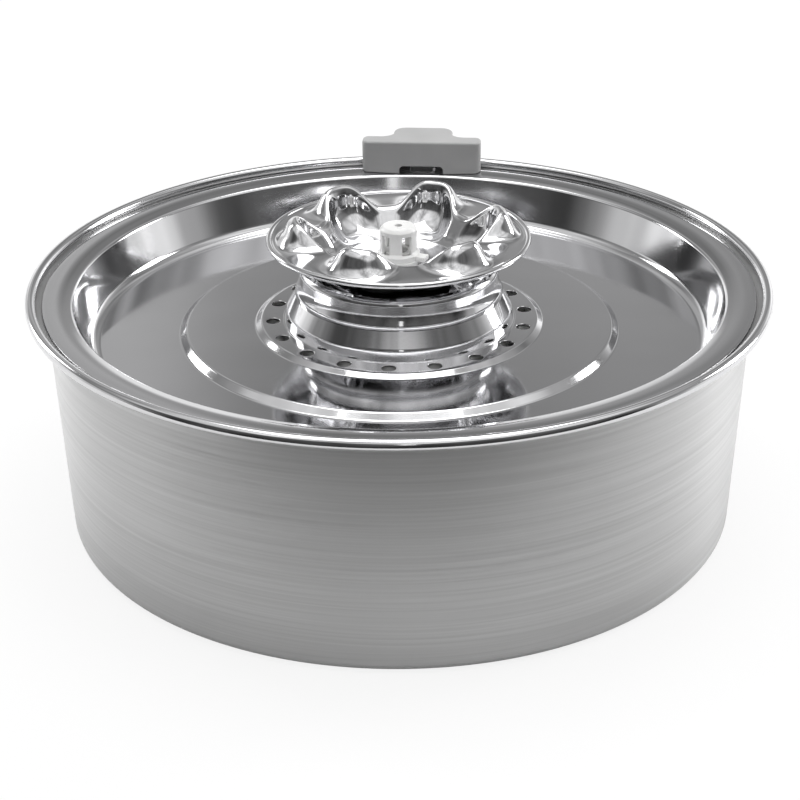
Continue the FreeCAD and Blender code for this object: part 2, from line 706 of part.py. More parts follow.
def make_suction_cups():
    """Four rubber feet that grip the bowl's floor."""
    outline = [(CUP_RADIUS - CUP_WALL, SHEET),
               (CUP_RADIUS, SHEET),
               (CUP_NECK, PUMP_BASE - CUP_WALL),
               (CUP_NECK, PUMP_BASE),
               (CUP_STEM_RADIUS, PUMP_BASE),
               (CUP_STEM_RADIUS, PUMP_BASE + CUP_STEM_LENGTH),
               (0.0, PUMP_BASE + CUP_STEM_LENGTH),
               (0.0, PUMP_BASE - CUP_WALL),
               (CUP_NECK - CUP_WALL, PUMP_BASE - 1.5 * CUP_WALL)]
    cups = []
    for x, y in cup_places():
        cup = turned(outline)
        cup.translate(Vec(x, y, 0))
        cups.append(cup)
    return Part.makeCompound(cups)


def make_stator_core():
    """U-shaped laminated core, one leg on each side of the rotor."""
    start = HOUSING_START + CORE_START
    low = AXIS - CORE_HEIGHT / 2.0
    high = AXIS + CORE_HEIGHT / 2.0
    near = CORE_OFFSET - CORE_THICKNESS / 2.0
    far = CORE_OFFSET + CORE_THICKNESS / 2.0
    left = block(-far, -near, start, HOUSING_END, low, high)
    right = block(near, far, start, HOUSING_END, low, high)
    yoke = block(-far, far, HOUSING_END - CORE_THICKNESS, HOUSING_END, low, high)
    return left.fuse([right, yoke]).removeSplitter()


def make_stator_coils():
    """One winding round each leg of the core."""
    end = HOUSING_END - CORE_THICKNESS - COIL_YOKE_GAP
    start = end - COIL_LENGTH
    half_height = CORE_HEIGHT / 2.0
    half_leg = CORE_THICKNESS / 2.0
    coils = []
    for side in (-CORE_OFFSET, CORE_OFFSET):
        outside = block(side - half_leg - COIL_THICKNESS, side + half_leg + COIL_THICKNESS,
                        start, end,
                        AXIS - half_height - COIL_THICKNESS, AXIS + half_height + COIL_THICKNESS)
        long_edges = [e for e in outside.Edges if e.BoundBox.YLength > 1e-3]
        rounded = outside.makeFillet(COIL_THICKNESS - RUNNING_GAP, long_edges)
        inside = block(side - half_leg, side + half_leg, start, end,
                       AXIS - half_height, AXIS + half_height)
        coils.append(rounded.cut(inside))
    return Part.makeCompound(coils)


def make_pump_housing(core, coils):
    """Motor body, potted solid round the core and the coils."""
    body = pump_blank(HOUSING_START, HOUSING_END)
    body = body.cut(rod(ROTOR_CHAMBER_RADIUS, HOUSING_START, HOUSING_START + ROTOR_CHAMBER_LENGTH))
    pocket_end = HOUSING_START + ROTOR_CHAMBER_LENGTH + BUSH_POCKET
    body = body.cut(rod(BUSH_REAR_RADIUS, HOUSING_START, pocket_end))
    body = body.cut([core] + coils.Solids)
    for x, y in cup_places():
        body = body.cut(Part.makeCylinder(CUP_STEM_RADIUS, CUP_STEM_LENGTH, Vec(x, y, PUMP_BASE)))
    return body


def make_pump_end_cap():
    """Plate that closes the motor, with the hole for the cord's gland."""
    cap = pump_blank(HOUSING_END, HOUSING_END + END_CAP_LENGTH)
    hole = Part.makeCylinder(GLAND_NECK, END_CAP_LENGTH,
                             Vec(0, HOUSING_END, AXIS + GLAND_HEIGHT), BACK)
    return cap.cut(hole)


def make_cord_gland():
    """Rubber gland for the supply cord, tapered towards the cord."""
    start = HOUSING_END
    face = HOUSING_END + END_CAP_LENGTH
    place = Vec(0, start, AXIS + GLAND_HEIGHT)
    neck = Part.makeCylinder(GLAND_NECK, END_CAP_LENGTH, place, BACK)
    face_place = Vec(0, face, AXIS + GLAND_HEIGHT)
    flange = Part.makeCylinder(GLAND_FLANGE, GLAND_FLANGE_LENGTH, face_place, BACK)
    cone = Part.makeCone(GLAND_NECK, GLAND_TIP, GLAND_LENGTH, face_place, BACK)
    bore = Part.makeCylinder(GLAND_BORE, END_CAP_LENGTH + GLAND_LENGTH, place, BACK)
    return neck.fuse([flange, cone]).removeSplitter().cut(bore)


def lower_half(shape):
    """The part of a shape under the rotor's axis."""
    box = shape.BoundBox
    return shape.common(block(box.XMin, box.XMax, box.YMin, box.YMax, box.ZMin, AXIS))


def make_volute_cover():
    """Front of the pump: round chamber, D-shaped inlet, spider, outlet and boss."""
    cover = pump_blank(-COVER_FRONT, COVER_BACK)
    boss_front = -COVER_FRONT - BOSS_HEIGHT
    outlet = Part.makeCylinder(OUTLET_RADIUS, OUTLET_TOP - AXIS, Vec(0, 0, AXIS))
    cover = cover.fuse([outlet, rod(BOSS_RADIUS, boss_front, -COVER_FRONT)])
    cover = cover.cut(rod(VOLUTE_RADIUS, -COVER_FRONT + VOLUTE_WALL, COVER_BACK))
    cover = cover.cut([rod(INLET_RADIUS, -COVER_FRONT, COVER_BACK),
                       lower_half(rod(INLET_RADIUS, boss_front, -COVER_FRONT))])
    cover = cover.cut(Part.makeCylinder(OUTLET_BORE, OUTLET_TOP - AXIS, Vec(0, 0, AXIS)))
    inner_face = -COVER_FRONT + VOLUTE_WALL
    spider = [rod(SPIDER_HUB, -COVER_FRONT, inner_face)]
    arm = block(-SPIDER_ARM / 2.0, SPIDER_ARM / 2.0, -COVER_FRONT, inner_face,
                AXIS, AXIS + INLET_RADIUS + SHEET)
    for i in range(SPIDER_ARMS):
        turned_arm = arm.copy()
        turned_arm.rotate(Vec(0, 0, AXIS), BACK, i * FULL_TURN / SPIDER_ARMS)
        spider.append(turned_arm)
    cover = cover.fuse(spider).removeSplitter()
    cover = cover.cut(rod(BUSH_FRONT_RADIUS, -COVER_FRONT, inner_face))
    return cover.cut(make_volute_seal())


def make_volute_seal():
    """Ring seal between the cover and the housing."""
    outer = rod(SEAL_RADIUS + SEAL_SECTION, COVER_BACK - SEAL_SECTION, COVER_BACK)
    return outer.cut(rod(SEAL_RADIUS, COVER_BACK - SEAL_SECTION, COVER_BACK))


def bush_places():
    """Start and radius of the front bush and of the rear one."""
    rear_end = HOUSING_START + ROTOR_CHAMBER_LENGTH + BUSH_POCKET
    front_start = -COVER_FRONT + VOLUTE_WALL - BUSH_LENGTH + BUSH_POCKET / 3.0
    return [(front_start, BUSH_FRONT_RADIUS), (rear_end - BUSH_LENGTH, BUSH_REAR_RADIUS)]


def make_shaft_bushes():
    """Rubber seats that hold the ceramic shaft at both ends."""
    bushes = []
    for start, radius in bush_places():
        bush = rod(radius, start, start + BUSH_LENGTH)
        bushes.append(bush.cut(rod(SHAFT_RADIUS, start, start + BUSH_LENGTH)))
    return Part.makeCompound(bushes)


def make_rotor_shaft():
    """Fixed ceramic shaft that the rotor turns on."""
    front_start = bush_places()[0][0]
    rear_start = bush_places()[1][0]
    return rod(SHAFT_RADIUS, front_start, rear_start + BUSH_LENGTH)


def magnet_start():
    return HOUSING_START + IMPELLER_BACK_GAP


def make_impeller():
    """Plate with straight blades on a tube that carries the magnet."""
    plate_back = COVER_BACK - IMPELLER_BACK_GAP
    plate_front = plate_back - IMPELLER_PLATE
    blade_front = plate_front - BLADE_WIDTH
    pieces = [rod(ROTOR_TUBE_RADIUS, blade_front, magnet_start() + MAGNET_LENGTH)]
    blade = block(-BLADE_THICKNESS / 2.0, BLADE_THICKNESS / 2.0, blade_front, plate_front,
                  AXIS, AXIS + IMPELLER_RADIUS)
    for i in range(BLADE_COUNT):
        copy = blade.copy()
        copy.rotate(Vec(0, 0, AXIS), BACK, i * FULL_TURN / BLADE_COUNT)
        pieces.append(copy)
    impeller = rod(IMPELLER_RADIUS, plate_front, plate_back).fuse(pieces).removeSplitter()
    bore = rod(SHAFT_RADIUS + RUNNING_GAP, blade_front, magnet_start() + MAGNET_LENGTH)
    return impeller.cut(bore)


def make_rotor_magnet():
    """Ring magnet on the impeller's tube."""
    start = magnet_start()
    magnet = rod(MAGNET_RADIUS, start, start + MAGNET_LENGTH)
    return magnet.cut(rod(ROTOR_TUBE_RADIUS, start, start + MAGNET_LENGTH))


# Intake side

def make_flow_dial():
    """Dial on the inlet's boss: a D-shaped opening that turns over the inlet."""
    back = -COVER_FRONT - DIAL_GAP
    plate_back = -COVER_FRONT - BOSS_HEIGHT - DIAL_GAP
    front = plate_back - DIAL_PLATE
    dial = rod(DIAL_RADIUS, front, back)
    dial = dial.cut(rod(BOSS_RADIUS + RUNNING_GAP, plate_back, back))
    dial = dial.cut(lower_half(rod(INLET_RADIUS, front, back)))
    tab = block(-DIAL_TAB_WIDTH / 2.0, DIAL_TAB_WIDTH / 2.0, front, plate_back,
                AXIS + INLET_RADIUS + DIAL_PLATE, AXIS + DIAL_RADIUS + DIAL_TAB_REACH)
    return dial.fuse(tab).removeSplitter()


def make_intake_cover():
    """Strainer box over the inlet, slotted in front."""
    back = -COVER_FRONT
    front = back - INTAKE_LENGTH
    cover = pump_blank(front, back)
    hollow = block(-PUMP_WIDTH / 2.0 + INTAKE_WALL, PUMP_WIDTH / 2.0 - INTAKE_WALL,
                   front + INTAKE_WALL, back, PUMP_BASE + INTAKE_WALL, PUMP_TOP - INTAKE_WALL)
    cover = cover.cut(hollow)
    pitch = (PUMP_WIDTH - 2.0 * INTAKE_SLOT_MARGIN) / (INTAKE_SLOTS - 1)
    for i in range(INTAKE_SLOTS):
        x = -PUMP_WIDTH / 2.0 + INTAKE_SLOT_MARGIN + i * pitch
        slot = block(x - INTAKE_SLOT_WIDTH / 2.0, x + INTAKE_SLOT_WIDTH / 2.0,
                     front, front + INTAKE_WALL,
                     PUMP_BASE + INTAKE_SLOT_MARGIN, PUMP_TOP - INTAKE_SLOT_MARGIN)
        cover = cover.cut(slot)
    return cover


def make_intake_foam():
    """Foam block behind the strainer's slots."""
    front = -COVER_FRONT - INTAKE_LENGTH + INTAKE_WALL
    inset = INTAKE_WALL + FOAM_CLEARANCE
    return block(-PUMP_WIDTH / 2.0 + inset, PUMP_WIDTH / 2.0 - inset,
                 front, front + FOAM_THICKNESS,
                 PUMP_BASE + INTAKE_WALL, PUMP_TOP - inset)


# Riser

def make_riser_tube():
    """Straight tube from the pump's outlet to the dish's tail."""
    return tube(RISER_RADIUS, RISER_BORE, RISER_BOTTOM, RISER_TOP)


def make_riser_coupling():
    """Silicone sleeve, stepped to grip the outlet and the riser."""
    middle = (OUTLET_TOP + RISER_BOTTOM) / 2.0
    outline = [(OUTLET_RADIUS + RUNNING_GAP, middle - COUPLING_GRIP),
               (RISER_RADIUS + COUPLING_WALL, middle - COUPLING_GRIP),
               (RISER_RADIUS + COUPLING_WALL, middle + COUPLING_GRIP),
               (RISER_RADIUS + RUNNING_GAP, middle + COUPLING_GRIP),
               (RISER_RADIUS + RUNNING_GAP, RISER_BOTTOM),
               (OUTLET_RADIUS + RUNNING_GAP, RISER_BOTTOM)]
    return turned(outline)


# Filter

def lug_middle_height():
    return HANGER_BOTTOM + LUG_RAISE + LUG_HEIGHT / 2.0


def make_filter_hanger():
    """White ring that snaps into the plateau's hole and carries the basket."""
    collar_outer = COLUMN_OPENING - COLLAR_CLEARANCE
    ring = tube(HANGER_RADIUS, HANGER_BORE, HANGER_BOTTOM, HANGER_TOP)
    collar = tube(collar_outer, collar_outer - HANGER_COLLAR_WALL, HANGER_TOP, PLATEAU_LEVEL)
    pieces = [collar]
    hook = sector(collar_outer - HANGER_COLLAR_WALL, COLUMN_OPENING + HOOK_REACH,
                  PLATEAU_LEVEL, PLATEAU_LEVEL + HOOK_HEIGHT, 0.0, HOOK_ANGLE)
    pieces.extend(around(hook, HOOK_COUNT, FULL_TURN / HOOK_COUNT / 2.0))
    low = lug_middle_height() - LUG_HEIGHT / 2.0
    lug = sector(HANGER_BORE, HANGER_RADIUS + LUG_REACH, low, low + LUG_HEIGHT, 0.0, LUG_ANGLE)
    pieces.extend(around(lug, HOOK_COUNT))
    return ring.fuse(pieces).removeSplitter()


def make_filter_basket():
    """Ring-shaped basket with bayonet channels in its inner wall."""
    inner_wall = BASKET_INNER + BASKET_INNER_WALL
    outline = [(BASKET_INNER, BASKET_BOTTOM),
               (BASKET_RADIUS, BASKET_BOTTOM),
               (BASKET_RADIUS, BASKET_OUTER_TOP),
               (BASKET_RADIUS - BASKET_WALL, BASKET_OUTER_TOP),
               (BASKET_RADIUS - BASKET_WALL, CASE_BOTTOM),
               (inner_wall, CASE_BOTTOM),
               (inner_wall, BASKET_TOP),
               (BASKET_INNER, BASKET_TOP)]
    basket = turned(outline)
    slot = block(inner_wall + BASKET_WALL, BASKET_RADIUS - 2.0 * BASKET_WALL,
                 -BASKET_SLOT_WIDTH / 2.0, BASKET_SLOT_WIDTH / 2.0,
                 BASKET_BOTTOM, CASE_BOTTOM)
    basket = basket.cut(around(slot, BASKET_SLOTS))
    low = lug_middle_height() - LUG_HEIGHT / 2.0 - FIT_GAP
    high = low + LUG_HEIGHT + 2.0 * FIT_GAP
    reach = HANGER_RADIUS + LUG_REACH + FIT_GAP
    width = LUG_ANGLE + TWIST_ANGLE + 2.0 * LUG_SIDE_GAP
    channel = sector(BASKET_INNER - FIT_GAP, reach, low, high, -TWIST_ANGLE / 2.0, width)
    entry = sector(BASKET_INNER - FIT_GAP, reach, low, BASKET_TOP, -TWIST_ANGLE,
                   LUG_ANGLE + 2.0 * LUG_SIDE_GAP)
    basket = basket.cut(around(channel, HOOK_COUNT))
    return basket.cut(around(entry, HOOK_COUNT))


def make_filter_case():
    """Ring-shaped cartridge tray with a slotted floor."""
    outline = [(CASE_INNER, CASE_BOTTOM),
               (CASE_OUTER, CASE_BOTTOM),
               (CASE_OUTER, CASE_TOP),
               (CASE_OUTER - CASE_WALL, CASE_TOP),
               (CASE_OUTER - CASE_WALL, CASE_BOTTOM + CASE_WALL),
               (CASE_INNER + CASE_WALL, CASE_BOTTOM + CASE_WALL),
               (CASE_INNER + CASE_WALL, CASE_TOP),
               (CASE_INNER, CASE_TOP)]
    return turned(outline).cut(case_slots(CASE_BOTTOM, CASE_BOTTOM + CASE_WALL))


def case_slots(bottom, top):
    """Radial slots between the case's walls."""
    slot = block(CASE_INNER + 2.0 * CASE_WALL, CASE_OUTER - 2.0 * CASE_WALL,
                 -CASE_SLOT_WIDTH / 2.0, CASE_SLOT_WIDTH / 2.0, bottom, top)
    return around(slot, BASKET_SLOTS)


def make_filter_lid():
    """Slotted lid of the cartridge."""
    lid = tube(CASE_OUTER, CASE_INNER, CASE_TOP, CASE_TOP + CASE_LID)
    return lid.cut(case_slots(CASE_TOP, CASE_TOP + CASE_LID))


def filter_layer(bottom, top):
    """A layer of the filling, from wall to wall of the case."""
    return tube(CASE_OUTER - CASE_WALL - FIT_GAP, CASE_INNER + CASE_WALL + FIT_GAP, bottom, top)


# Cord clip

def tray_space():
    """The space under the flange's upper face, with the seating gap."""
    upper = [(r, z + SEATING_GAP) for r, z in tray_line()[-4:]]
    bends = [BASIN_EDGE_BEND, FLANGE_BEND]
    edges = rounded_edges(upper, bends)
    low = FLOOR_LEVEL
    edges.append(Part.makeLine(flat(upper[-1]), Vec(upper[-1][0], 0, low)))
    edges.append(Part.makeLine(Vec(upper[-1][0], 0, low), Vec(upper[0][0], 0, low)))
    edges.append(Part.makeLine(Vec(upper[0][0], 0, low), flat(upper[0])))
    wire = Part.Wire(Part.__sortEdges__(edges))
    return Part.Face(wire).revolve(ORIGIN, UP, FULL_TURN)


def rim_space():
    """The bowl's ledge and rolled rim, with room to lift off."""
    low = FLOOR_LEVEL
    step = RIM_RADIUS - 2.0 * RIM_BEAD - SEATING_GAP
    high = rim_clearance()
    return turned([(TRAY_RADIUS, low),
                   (RIM_RADIUS + SEATING_GAP, low),
                   (RIM_RADIUS + SEATING_GAP, high),
                   (step, high),
                   (step, LEDGE_TOP + SEATING_GAP),
                   (TRAY_RADIUS, LEDGE_TOP + SEATING_GAP)])


def clip_outline(inset, bottom, height):
    """T-shaped plan of the clip: a wide front and a narrow tongue behind."""
    half = CLIP_WIDTH / 2.0 - inset
    tongue = TONGUE_WIDTH / 2.0 - inset
    front = CLIP_FRONT + inset
    step = CLIP_FRONT + CLIP_DEPTH - inset
    end = TONGUE_END - inset
    points = [Vec(-half, front, bottom), Vec(half, front, bottom), Vec(half, step, bottom),
              Vec(tongue, step, bottom), Vec(tongue, end, bottom), Vec(-tongue, end, bottom),
              Vec(-tongue, step, bottom), Vec(-half, step, bottom), Vec(-half, front, bottom)]
    return Part.Face(Part.makePolygon(points)).extrude(Vec(0, 0, height))


def edge_at(shape, x, y):
    """The upright edge that stands at a place of the plan."""
    return [e for e in upright_edges(shape)
            if abs(abs(e.BoundBox.XMin) - x) < 1e-3 and abs(e.BoundBox.YMin - y) < 1e-3]


def clip_solid():
    """The clip's outer form, before it is hollowed."""
    bottom = BASIN_EDGE - BASIN_EDGE_BEND
    top = BASIN_EDGE + CLIP_HEIGHT
    form = clip_outline(0.0, bottom, top - bottom)
    step = CLIP_FRONT + CLIP_DEPTH
    form = form.makeFillet(CLIP_CORNER, edge_at(form, CLIP_WIDTH / 2.0, CLIP_FRONT))
    form = form.makeFillet(CLIP_CORNER, edge_at(form, CLIP_WIDTH / 2.0, step))
    form = form.makeFillet(CLIP_SHOULDER, edge_at(form, TONGUE_WIDTH / 2.0, step))
    form = form.makeFillet(CLIP_SHOULDER, edge_at(form, TONGUE_WIDTH / 2.0, TONGUE_END))
    return form.makeFillet(CLIP_TOP_ROUND, lying_edges(form, top))


def rim_clearance():
    """Height just above the rolled rim."""
    return RIM_PLANE + RIM_BEAD + SEATING_GAP


def cord_channel():
    """The cord's way over the rim and out at the clip's back."""
    return block(-CHANNEL_WIDTH / 2.0, CHANNEL_WIDTH / 2.0,
                 CLIP_FRONT + CLIP_WALL, TONGUE_END + CLIP_WALL,
                 rim_clearance(), rim_clearance() + CHANNEL_HEIGHT)


def make_clip_housing():
    """Grey cover of the clip, with the cord's arched opening in front."""
    form = clip_solid()
    parting = RIM_PLANE + CLIP_PARTING
    behind = CLIP_FRONT + CLIP_DEPTH
    form = form.cut(block(-CLIP_WIDTH, CLIP_WIDTH, behind, TONGUE_END + CLIP_WALL,
                          FLOOR_LEVEL, parting))
    top = BASIN_EDGE + CLIP_HEIGHT
    hollow_front = block(-CLIP_WIDTH / 2.0 + CLIP_WALL, CLIP_WIDTH / 2.0 - CLIP_WALL,
                         CLIP_FRONT + CLIP_WALL, behind - CLIP_WALL, FLOOR_LEVEL, top - CLIP_WALL)
    hollow_tongue = block(-TONGUE_WIDTH / 2.0 + CLIP_WALL, TONGUE_WIDTH / 2.0 - CLIP_WALL,
                          CLIP_FRONT + CLIP_WALL, TONGUE_END - CLIP_WALL, FLOOR_LEVEL, top - CLIP_WALL)
    form = form.cut([hollow_front, hollow_tongue])
    sill = BASIN_EDGE - BASIN_EDGE_BEND
    mouse_hole = block(-MOUSE_HOLE_WIDTH / 2.0, MOUSE_HOLE_WIDTH / 2.0,
                       CLIP_FRONT - CLIP_WALL, CLIP_FRONT + 2.0 * CLIP_WALL,
                       sill, BASIN_EDGE + MOUSE_HOLE_HEIGHT)
    arch = [e for e in mouse_hole.Edges
            if e.BoundBox.YLength > 1e-3 and e.BoundBox.ZMin > BASIN_EDGE]
    mouse_hole = mouse_hole.makeFillet(MOUSE_HOLE_CORNER, arch)
    return form.cut([mouse_hole, cord_channel(), tray_space(), rim_space()])


def make_clip_base():
    """Hook that holds the clip on the rim, with a channel for the cord."""
    half = TONGUE_WIDTH / 2.0
    parting = RIM_PLANE + CLIP_PARTING
    plate = block(-half, half, CLIP_FRONT + CLIP_DEPTH + SEATING_GAP, TONGUE_END,
                  rim_clearance(), parting)
    hook = block(-half, half, TONGUE_END - HOOK_WALL, TONGUE_END,
                 RIM_PLANE - HOOK_DEPTH, parting)
    base = plate.fuse(hook).removeSplitter()
    base = base.makeFillet(CLIP_SHOULDER, edge_at(base, half, TONGUE_END))
    return base.cut([cord_channel(), rim_space()])


def main():
    os.makedirs("parts", exist_ok=True)
    export(make_bowl(), "bowl")
    export(make_tray(), "tray")
    export(make_column(), "column")
    export(make_flower_dish(), "flower_dish")
    export(tube(GASKET_OUTER, GASKET_INNER, COLUMN_TOP, DISH_UNDERSIDE), "dish_gasket")
    export(make_nozzle_seat(), "nozzle_seat")
    export(make_tail_seal(), "tail_seal")
    export(make_seat_nut(), "seat_nut")
    export(make_nozzle(), "nozzle")
    core = make_stator_core()
    coils = make_stator_coils()
    export(core, "stator_core")
    export(coils, "stator_coils")
    export(make_pump_housing(core, coils), "pump_housing")
    export(make_pump_end_cap(), "pump_end_cap")
    export(make_cord_gland(), "cord_gland")
    export(make_suction_cups(), "suction_cups")
    export(make_volute_cover(), "volute_cover")
    export(make_volute_seal(), "volute_seal")
    export(make_shaft_bushes(), "shaft_bushes")
    export(make_rotor_shaft(), "rotor_shaft")
    export(make_impeller(), "impeller")
    export(make_rotor_magnet(), "rotor_magnet")
    export(make_flow_dial(), "flow_dial")
    export(make_intake_cover(), "intake_cover")
    export(make_intake_foam(), "intake_foam")
    export(make_riser_tube(), "riser_tube")
    export(make_riser_coupling(), "riser_coupling")
    export(make_filter_hanger(), "filter_hanger")
    export(make_filter_basket(), "filter_basket")
    export(make_filter_case(), "filter_case")
    export(make_filter_lid(), "filter_lid")
    resin_bottom = CASE_BOTTOM + CASE_WALL
    carbon_bottom = resin_bottom + RESIN_DEPTH
    cotton_bottom = carbon_bottom + CARBON_DEPTH
    export(filter_layer(resin_bottom, carbon_bottom), "resin_bed")
    export(filter_layer(carbon_bottom, cotton_bottom), "carbon_bed")
    export(filter_layer(cotton_bottom, CASE_TOP), "cotton_pad")
    export(make_clip_housing(), "clip_housing")
    export(make_clip_base(), "clip_base")


main()
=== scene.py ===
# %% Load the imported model
import json
import math
import bmesh
import bpy
from mathutils import Matrix, Vector, noise as smooth_noise


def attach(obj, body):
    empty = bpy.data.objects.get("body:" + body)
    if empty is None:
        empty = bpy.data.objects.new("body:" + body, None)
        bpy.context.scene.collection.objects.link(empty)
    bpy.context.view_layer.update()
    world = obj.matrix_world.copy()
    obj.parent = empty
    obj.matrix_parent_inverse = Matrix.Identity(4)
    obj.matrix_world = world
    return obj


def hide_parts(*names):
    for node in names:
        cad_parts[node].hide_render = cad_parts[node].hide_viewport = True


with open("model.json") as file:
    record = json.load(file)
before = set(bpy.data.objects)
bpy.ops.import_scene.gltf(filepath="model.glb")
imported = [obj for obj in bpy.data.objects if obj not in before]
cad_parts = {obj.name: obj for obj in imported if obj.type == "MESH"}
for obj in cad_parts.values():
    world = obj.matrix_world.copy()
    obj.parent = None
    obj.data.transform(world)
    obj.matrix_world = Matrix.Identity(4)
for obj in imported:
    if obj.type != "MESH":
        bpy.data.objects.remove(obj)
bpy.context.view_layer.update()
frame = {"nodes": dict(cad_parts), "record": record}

# %% [markdown]
# The object is a steel water fountain for pets: a brushed bowl, a mirror-polished tray and column,
# and a flower-shaped dish with a small white nozzle. Steel is mostly reflection, so the pieces that
# show are turned again here with smooth faces. The solids that are hidden inside keep their shape and
# only get a finish. All sizes below are the ones of the real object, in millimetres.

# %% Units and the sheet that everything is pressed from
MM = 0.001
SHEET = 0.7
STEPS = 216

# %% [markdown]
# The camera stands where the photographer stood: 68 cm from the middle of the rim, looking down at 26
# degrees through a long lens, a little to the right of the line through the cord clip. It could be
# placed with a tracking constraint, but a matrix made from three directions leaves nothing for Blender
# to solve, and takes the slight roll of the picture too.

# %% Camera
RIM_PLANE = 86.0
VIEW_TURN = math.radians(4.7)
CAMERA_DISTANCE = 676.8
CAMERA_RISE = math.radians(22.29)
CAMERA_PITCH = math.radians(22.29 + 3.636)
CAMERA_ROLL = math.radians(-0.54)
FOCAL_PIXELS = 1918.4
IMAGE_WIDTH = 800

forward = Vector((0, math.cos(CAMERA_PITCH), -math.sin(CAMERA_PITCH)))
right = Vector((1, 0, 0))
up = right.cross(forward)
rolled_right = right * math.cos(CAMERA_ROLL) + up * math.sin(CAMERA_ROLL)
rolled_up = up * math.cos(CAMERA_ROLL) - right * math.sin(CAMERA_ROLL)
place = Vector((0, -CAMERA_DISTANCE * math.cos(CAMERA_RISE),
                RIM_PLANE + CAMERA_DISTANCE * math.sin(CAMERA_RISE))) * MM
camera_data = bpy.data.cameras.new("camera")
camera_data.sensor_width = 36
camera_data.lens = FOCAL_PIXELS * camera_data.sensor_width / IMAGE_WIDTH
camera = bpy.data.objects.new("camera", camera_data)
camera.matrix_world = (Matrix.Rotation(VIEW_TURN, 4, "Z") @ Matrix.Translation(place)
                       @ Matrix((rolled_right, rolled_up, -forward)).transposed().to_4x4())
bpy.context.scene.collection.objects.link(camera)
bpy.context.scene.camera = camera
print("camera at", [round(c, 3) for c in place], "lens", round(camera_data.lens, 1))

# %% [markdown]
# Polished steel shows the room, so the room matters more than the lamps. This studio has a grey wall
# behind the bowl that is white low down, a dark room behind the camera and a pale ceiling. A picture of
# a real room could be wrapped round instead, but two gradients on the view's direction need no file: one
# for each side, mixed by how far the direction points towards the camera's side. Broad noise round the
# room stands for doors, shelves and curtains, and breaks the reflections up into streaks. Looked at
# directly, the room is plain white, as the background of a catalogue picture is.

# %% Room by height
scene = bpy.context.scene
scene.view_settings.view_transform = "Standard"
world = bpy.data.worlds.new("studio")
world.use_nodes = True
scene.world = world
sky = world.node_tree
sky.nodes.clear()
direction = sky.nodes.new("ShaderNodeTexCoord")
split = sky.nodes.new("ShaderNodeSeparateXYZ")
sky.links.new(direction.outputs["Generated"], split.inputs[0])


def sky_ramp(steps):
    """Greys by height: 0 at the horizon, 1 overhead."""
    ramp = sky.nodes.new("ShaderNodeValToRGB")
    ramp.color_ramp.interpolation = "EASE"
    while len(ramp.color_ramp.elements) < len(steps):
        ramp.color_ramp.elements.new(0.5)
    for element, (position, grey) in zip(ramp.color_ramp.elements, steps):
        element.position = position
        element.color = (grey, grey, grey, 1)
    sky.links.new(split.outputs["Z"], ramp.inputs["Fac"])
    return ramp.outputs["Color"]


BACK_WALL = [(0.20, 1.0), (0.31, 0.40), (0.5, 0.34), (0.7, 0.5), (0.9, 0.9)]
FRONT_ROOM = [(0.0, 0.06), (0.3, 0.1), (0.54, 0.14), (0.66, 0.85), (0.9, 0.9)]
back_wall, front_room = sky_ramp(BACK_WALL), sky_ramp(FRONT_ROOM)
print("room behind the bowl:", BACK_WALL, "room in front:", FRONT_ROOM)

# %% Room by side
towards_camera = sky.nodes.new("ShaderNodeVectorMath")
towards_camera.operation = "DOT_PRODUCT"
towards_camera.inputs[1].default_value = (math.sin(VIEW_TURN), -math.cos(VIEW_TURN), 0)
sky.links.new(direction.outputs["Generated"], towards_camera.inputs[0])
side = sky.nodes.new("ShaderNodeMapRange")
side.interpolation_type = "SMOOTHSTEP"
side.inputs["From Min"].default_value = -0.3
side.inputs["From Max"].default_value = 0.4
sky.links.new(towards_camera.outputs["Value"], side.inputs["Value"])
room = sky.nodes.new("ShaderNodeMix")
room.data_type = "RGBA"
sky.links.new(side.outputs["Result"], room.inputs["Factor"])
sky.links.new(back_wall, room.inputs["A"])
sky.links.new(front_room, room.inputs["B"])
print("sides are mixed where the direction's share towards the camera is",
      side.inputs["From Min"].default_value, "to", side.inputs["From Max"].default_value)

# %% Furniture
furniture = sky.nodes.new("ShaderNodeTexNoise")
furniture.inputs["Scale"].default_value = 3.4
furniture.inputs["Detail"].default_value = 2.0
upright = sky.nodes.new("ShaderNodeMapping")
upright.inputs["Scale"].default_value = (1, 1, 0.25)
sky.links.new(direction.outputs["Generated"], upright.inputs["Vector"])
sky.links.new(upright.outputs["Vector"], furniture.inputs["Vector"])
strength = sky.nodes.new("ShaderNodeMapRange")
strength.inputs["From Min"].default_value = 0.35
strength.inputs["From Max"].default_value = 0.65
strength.inputs["To Min"].default_value = 0.55
strength.inputs["To Max"].default_value = 1.4
sky.links.new(furniture.outputs["Fac"], strength.inputs["Value"])
furnished = sky.nodes.new("ShaderNodeVectorMath")
furnished.operation = "SCALE"
sky.links.new(room.outputs["Result"], furnished.inputs["Vector"])
sky.links.new(strength.outputs["Result"], furnished.inputs["Scale"])
print("furniture darkens to", strength.inputs["To Min"].default_value,
      "and brightens to", strength.inputs["To Max"].default_value)

# %% White background
looked_at = sky.nodes.new("ShaderNodeLightPath")
backdrop = sky.nodes.new("ShaderNodeMix")
backdrop.data_type = "RGBA"
backdrop.inputs["B"].default_value = (1, 1, 1, 1)
sky.links.new(looked_at.outputs["Is Camera Ray"], backdrop.inputs["Factor"])
sky.links.new(furnished.outputs["Vector"], backdrop.inputs["A"])
background = sky.nodes.new("ShaderNodeBackground")
sky.links.new(backdrop.outputs["Result"], background.inputs["Color"])
sky_out = sky.nodes.new("ShaderNodeOutputWorld")
sky.links.new(background.outputs[0], sky_out.inputs["Surface"])
print("room nodes:", len(sky.nodes))

# %% [markdown]
# Soft boxes light the object and draw the bright bands in the steel: one behind on each side, a faint
# strip near the camera and a large one overhead. Each is aimed at the middle of the bowl. The camera
# doesn't see them, only what they light.

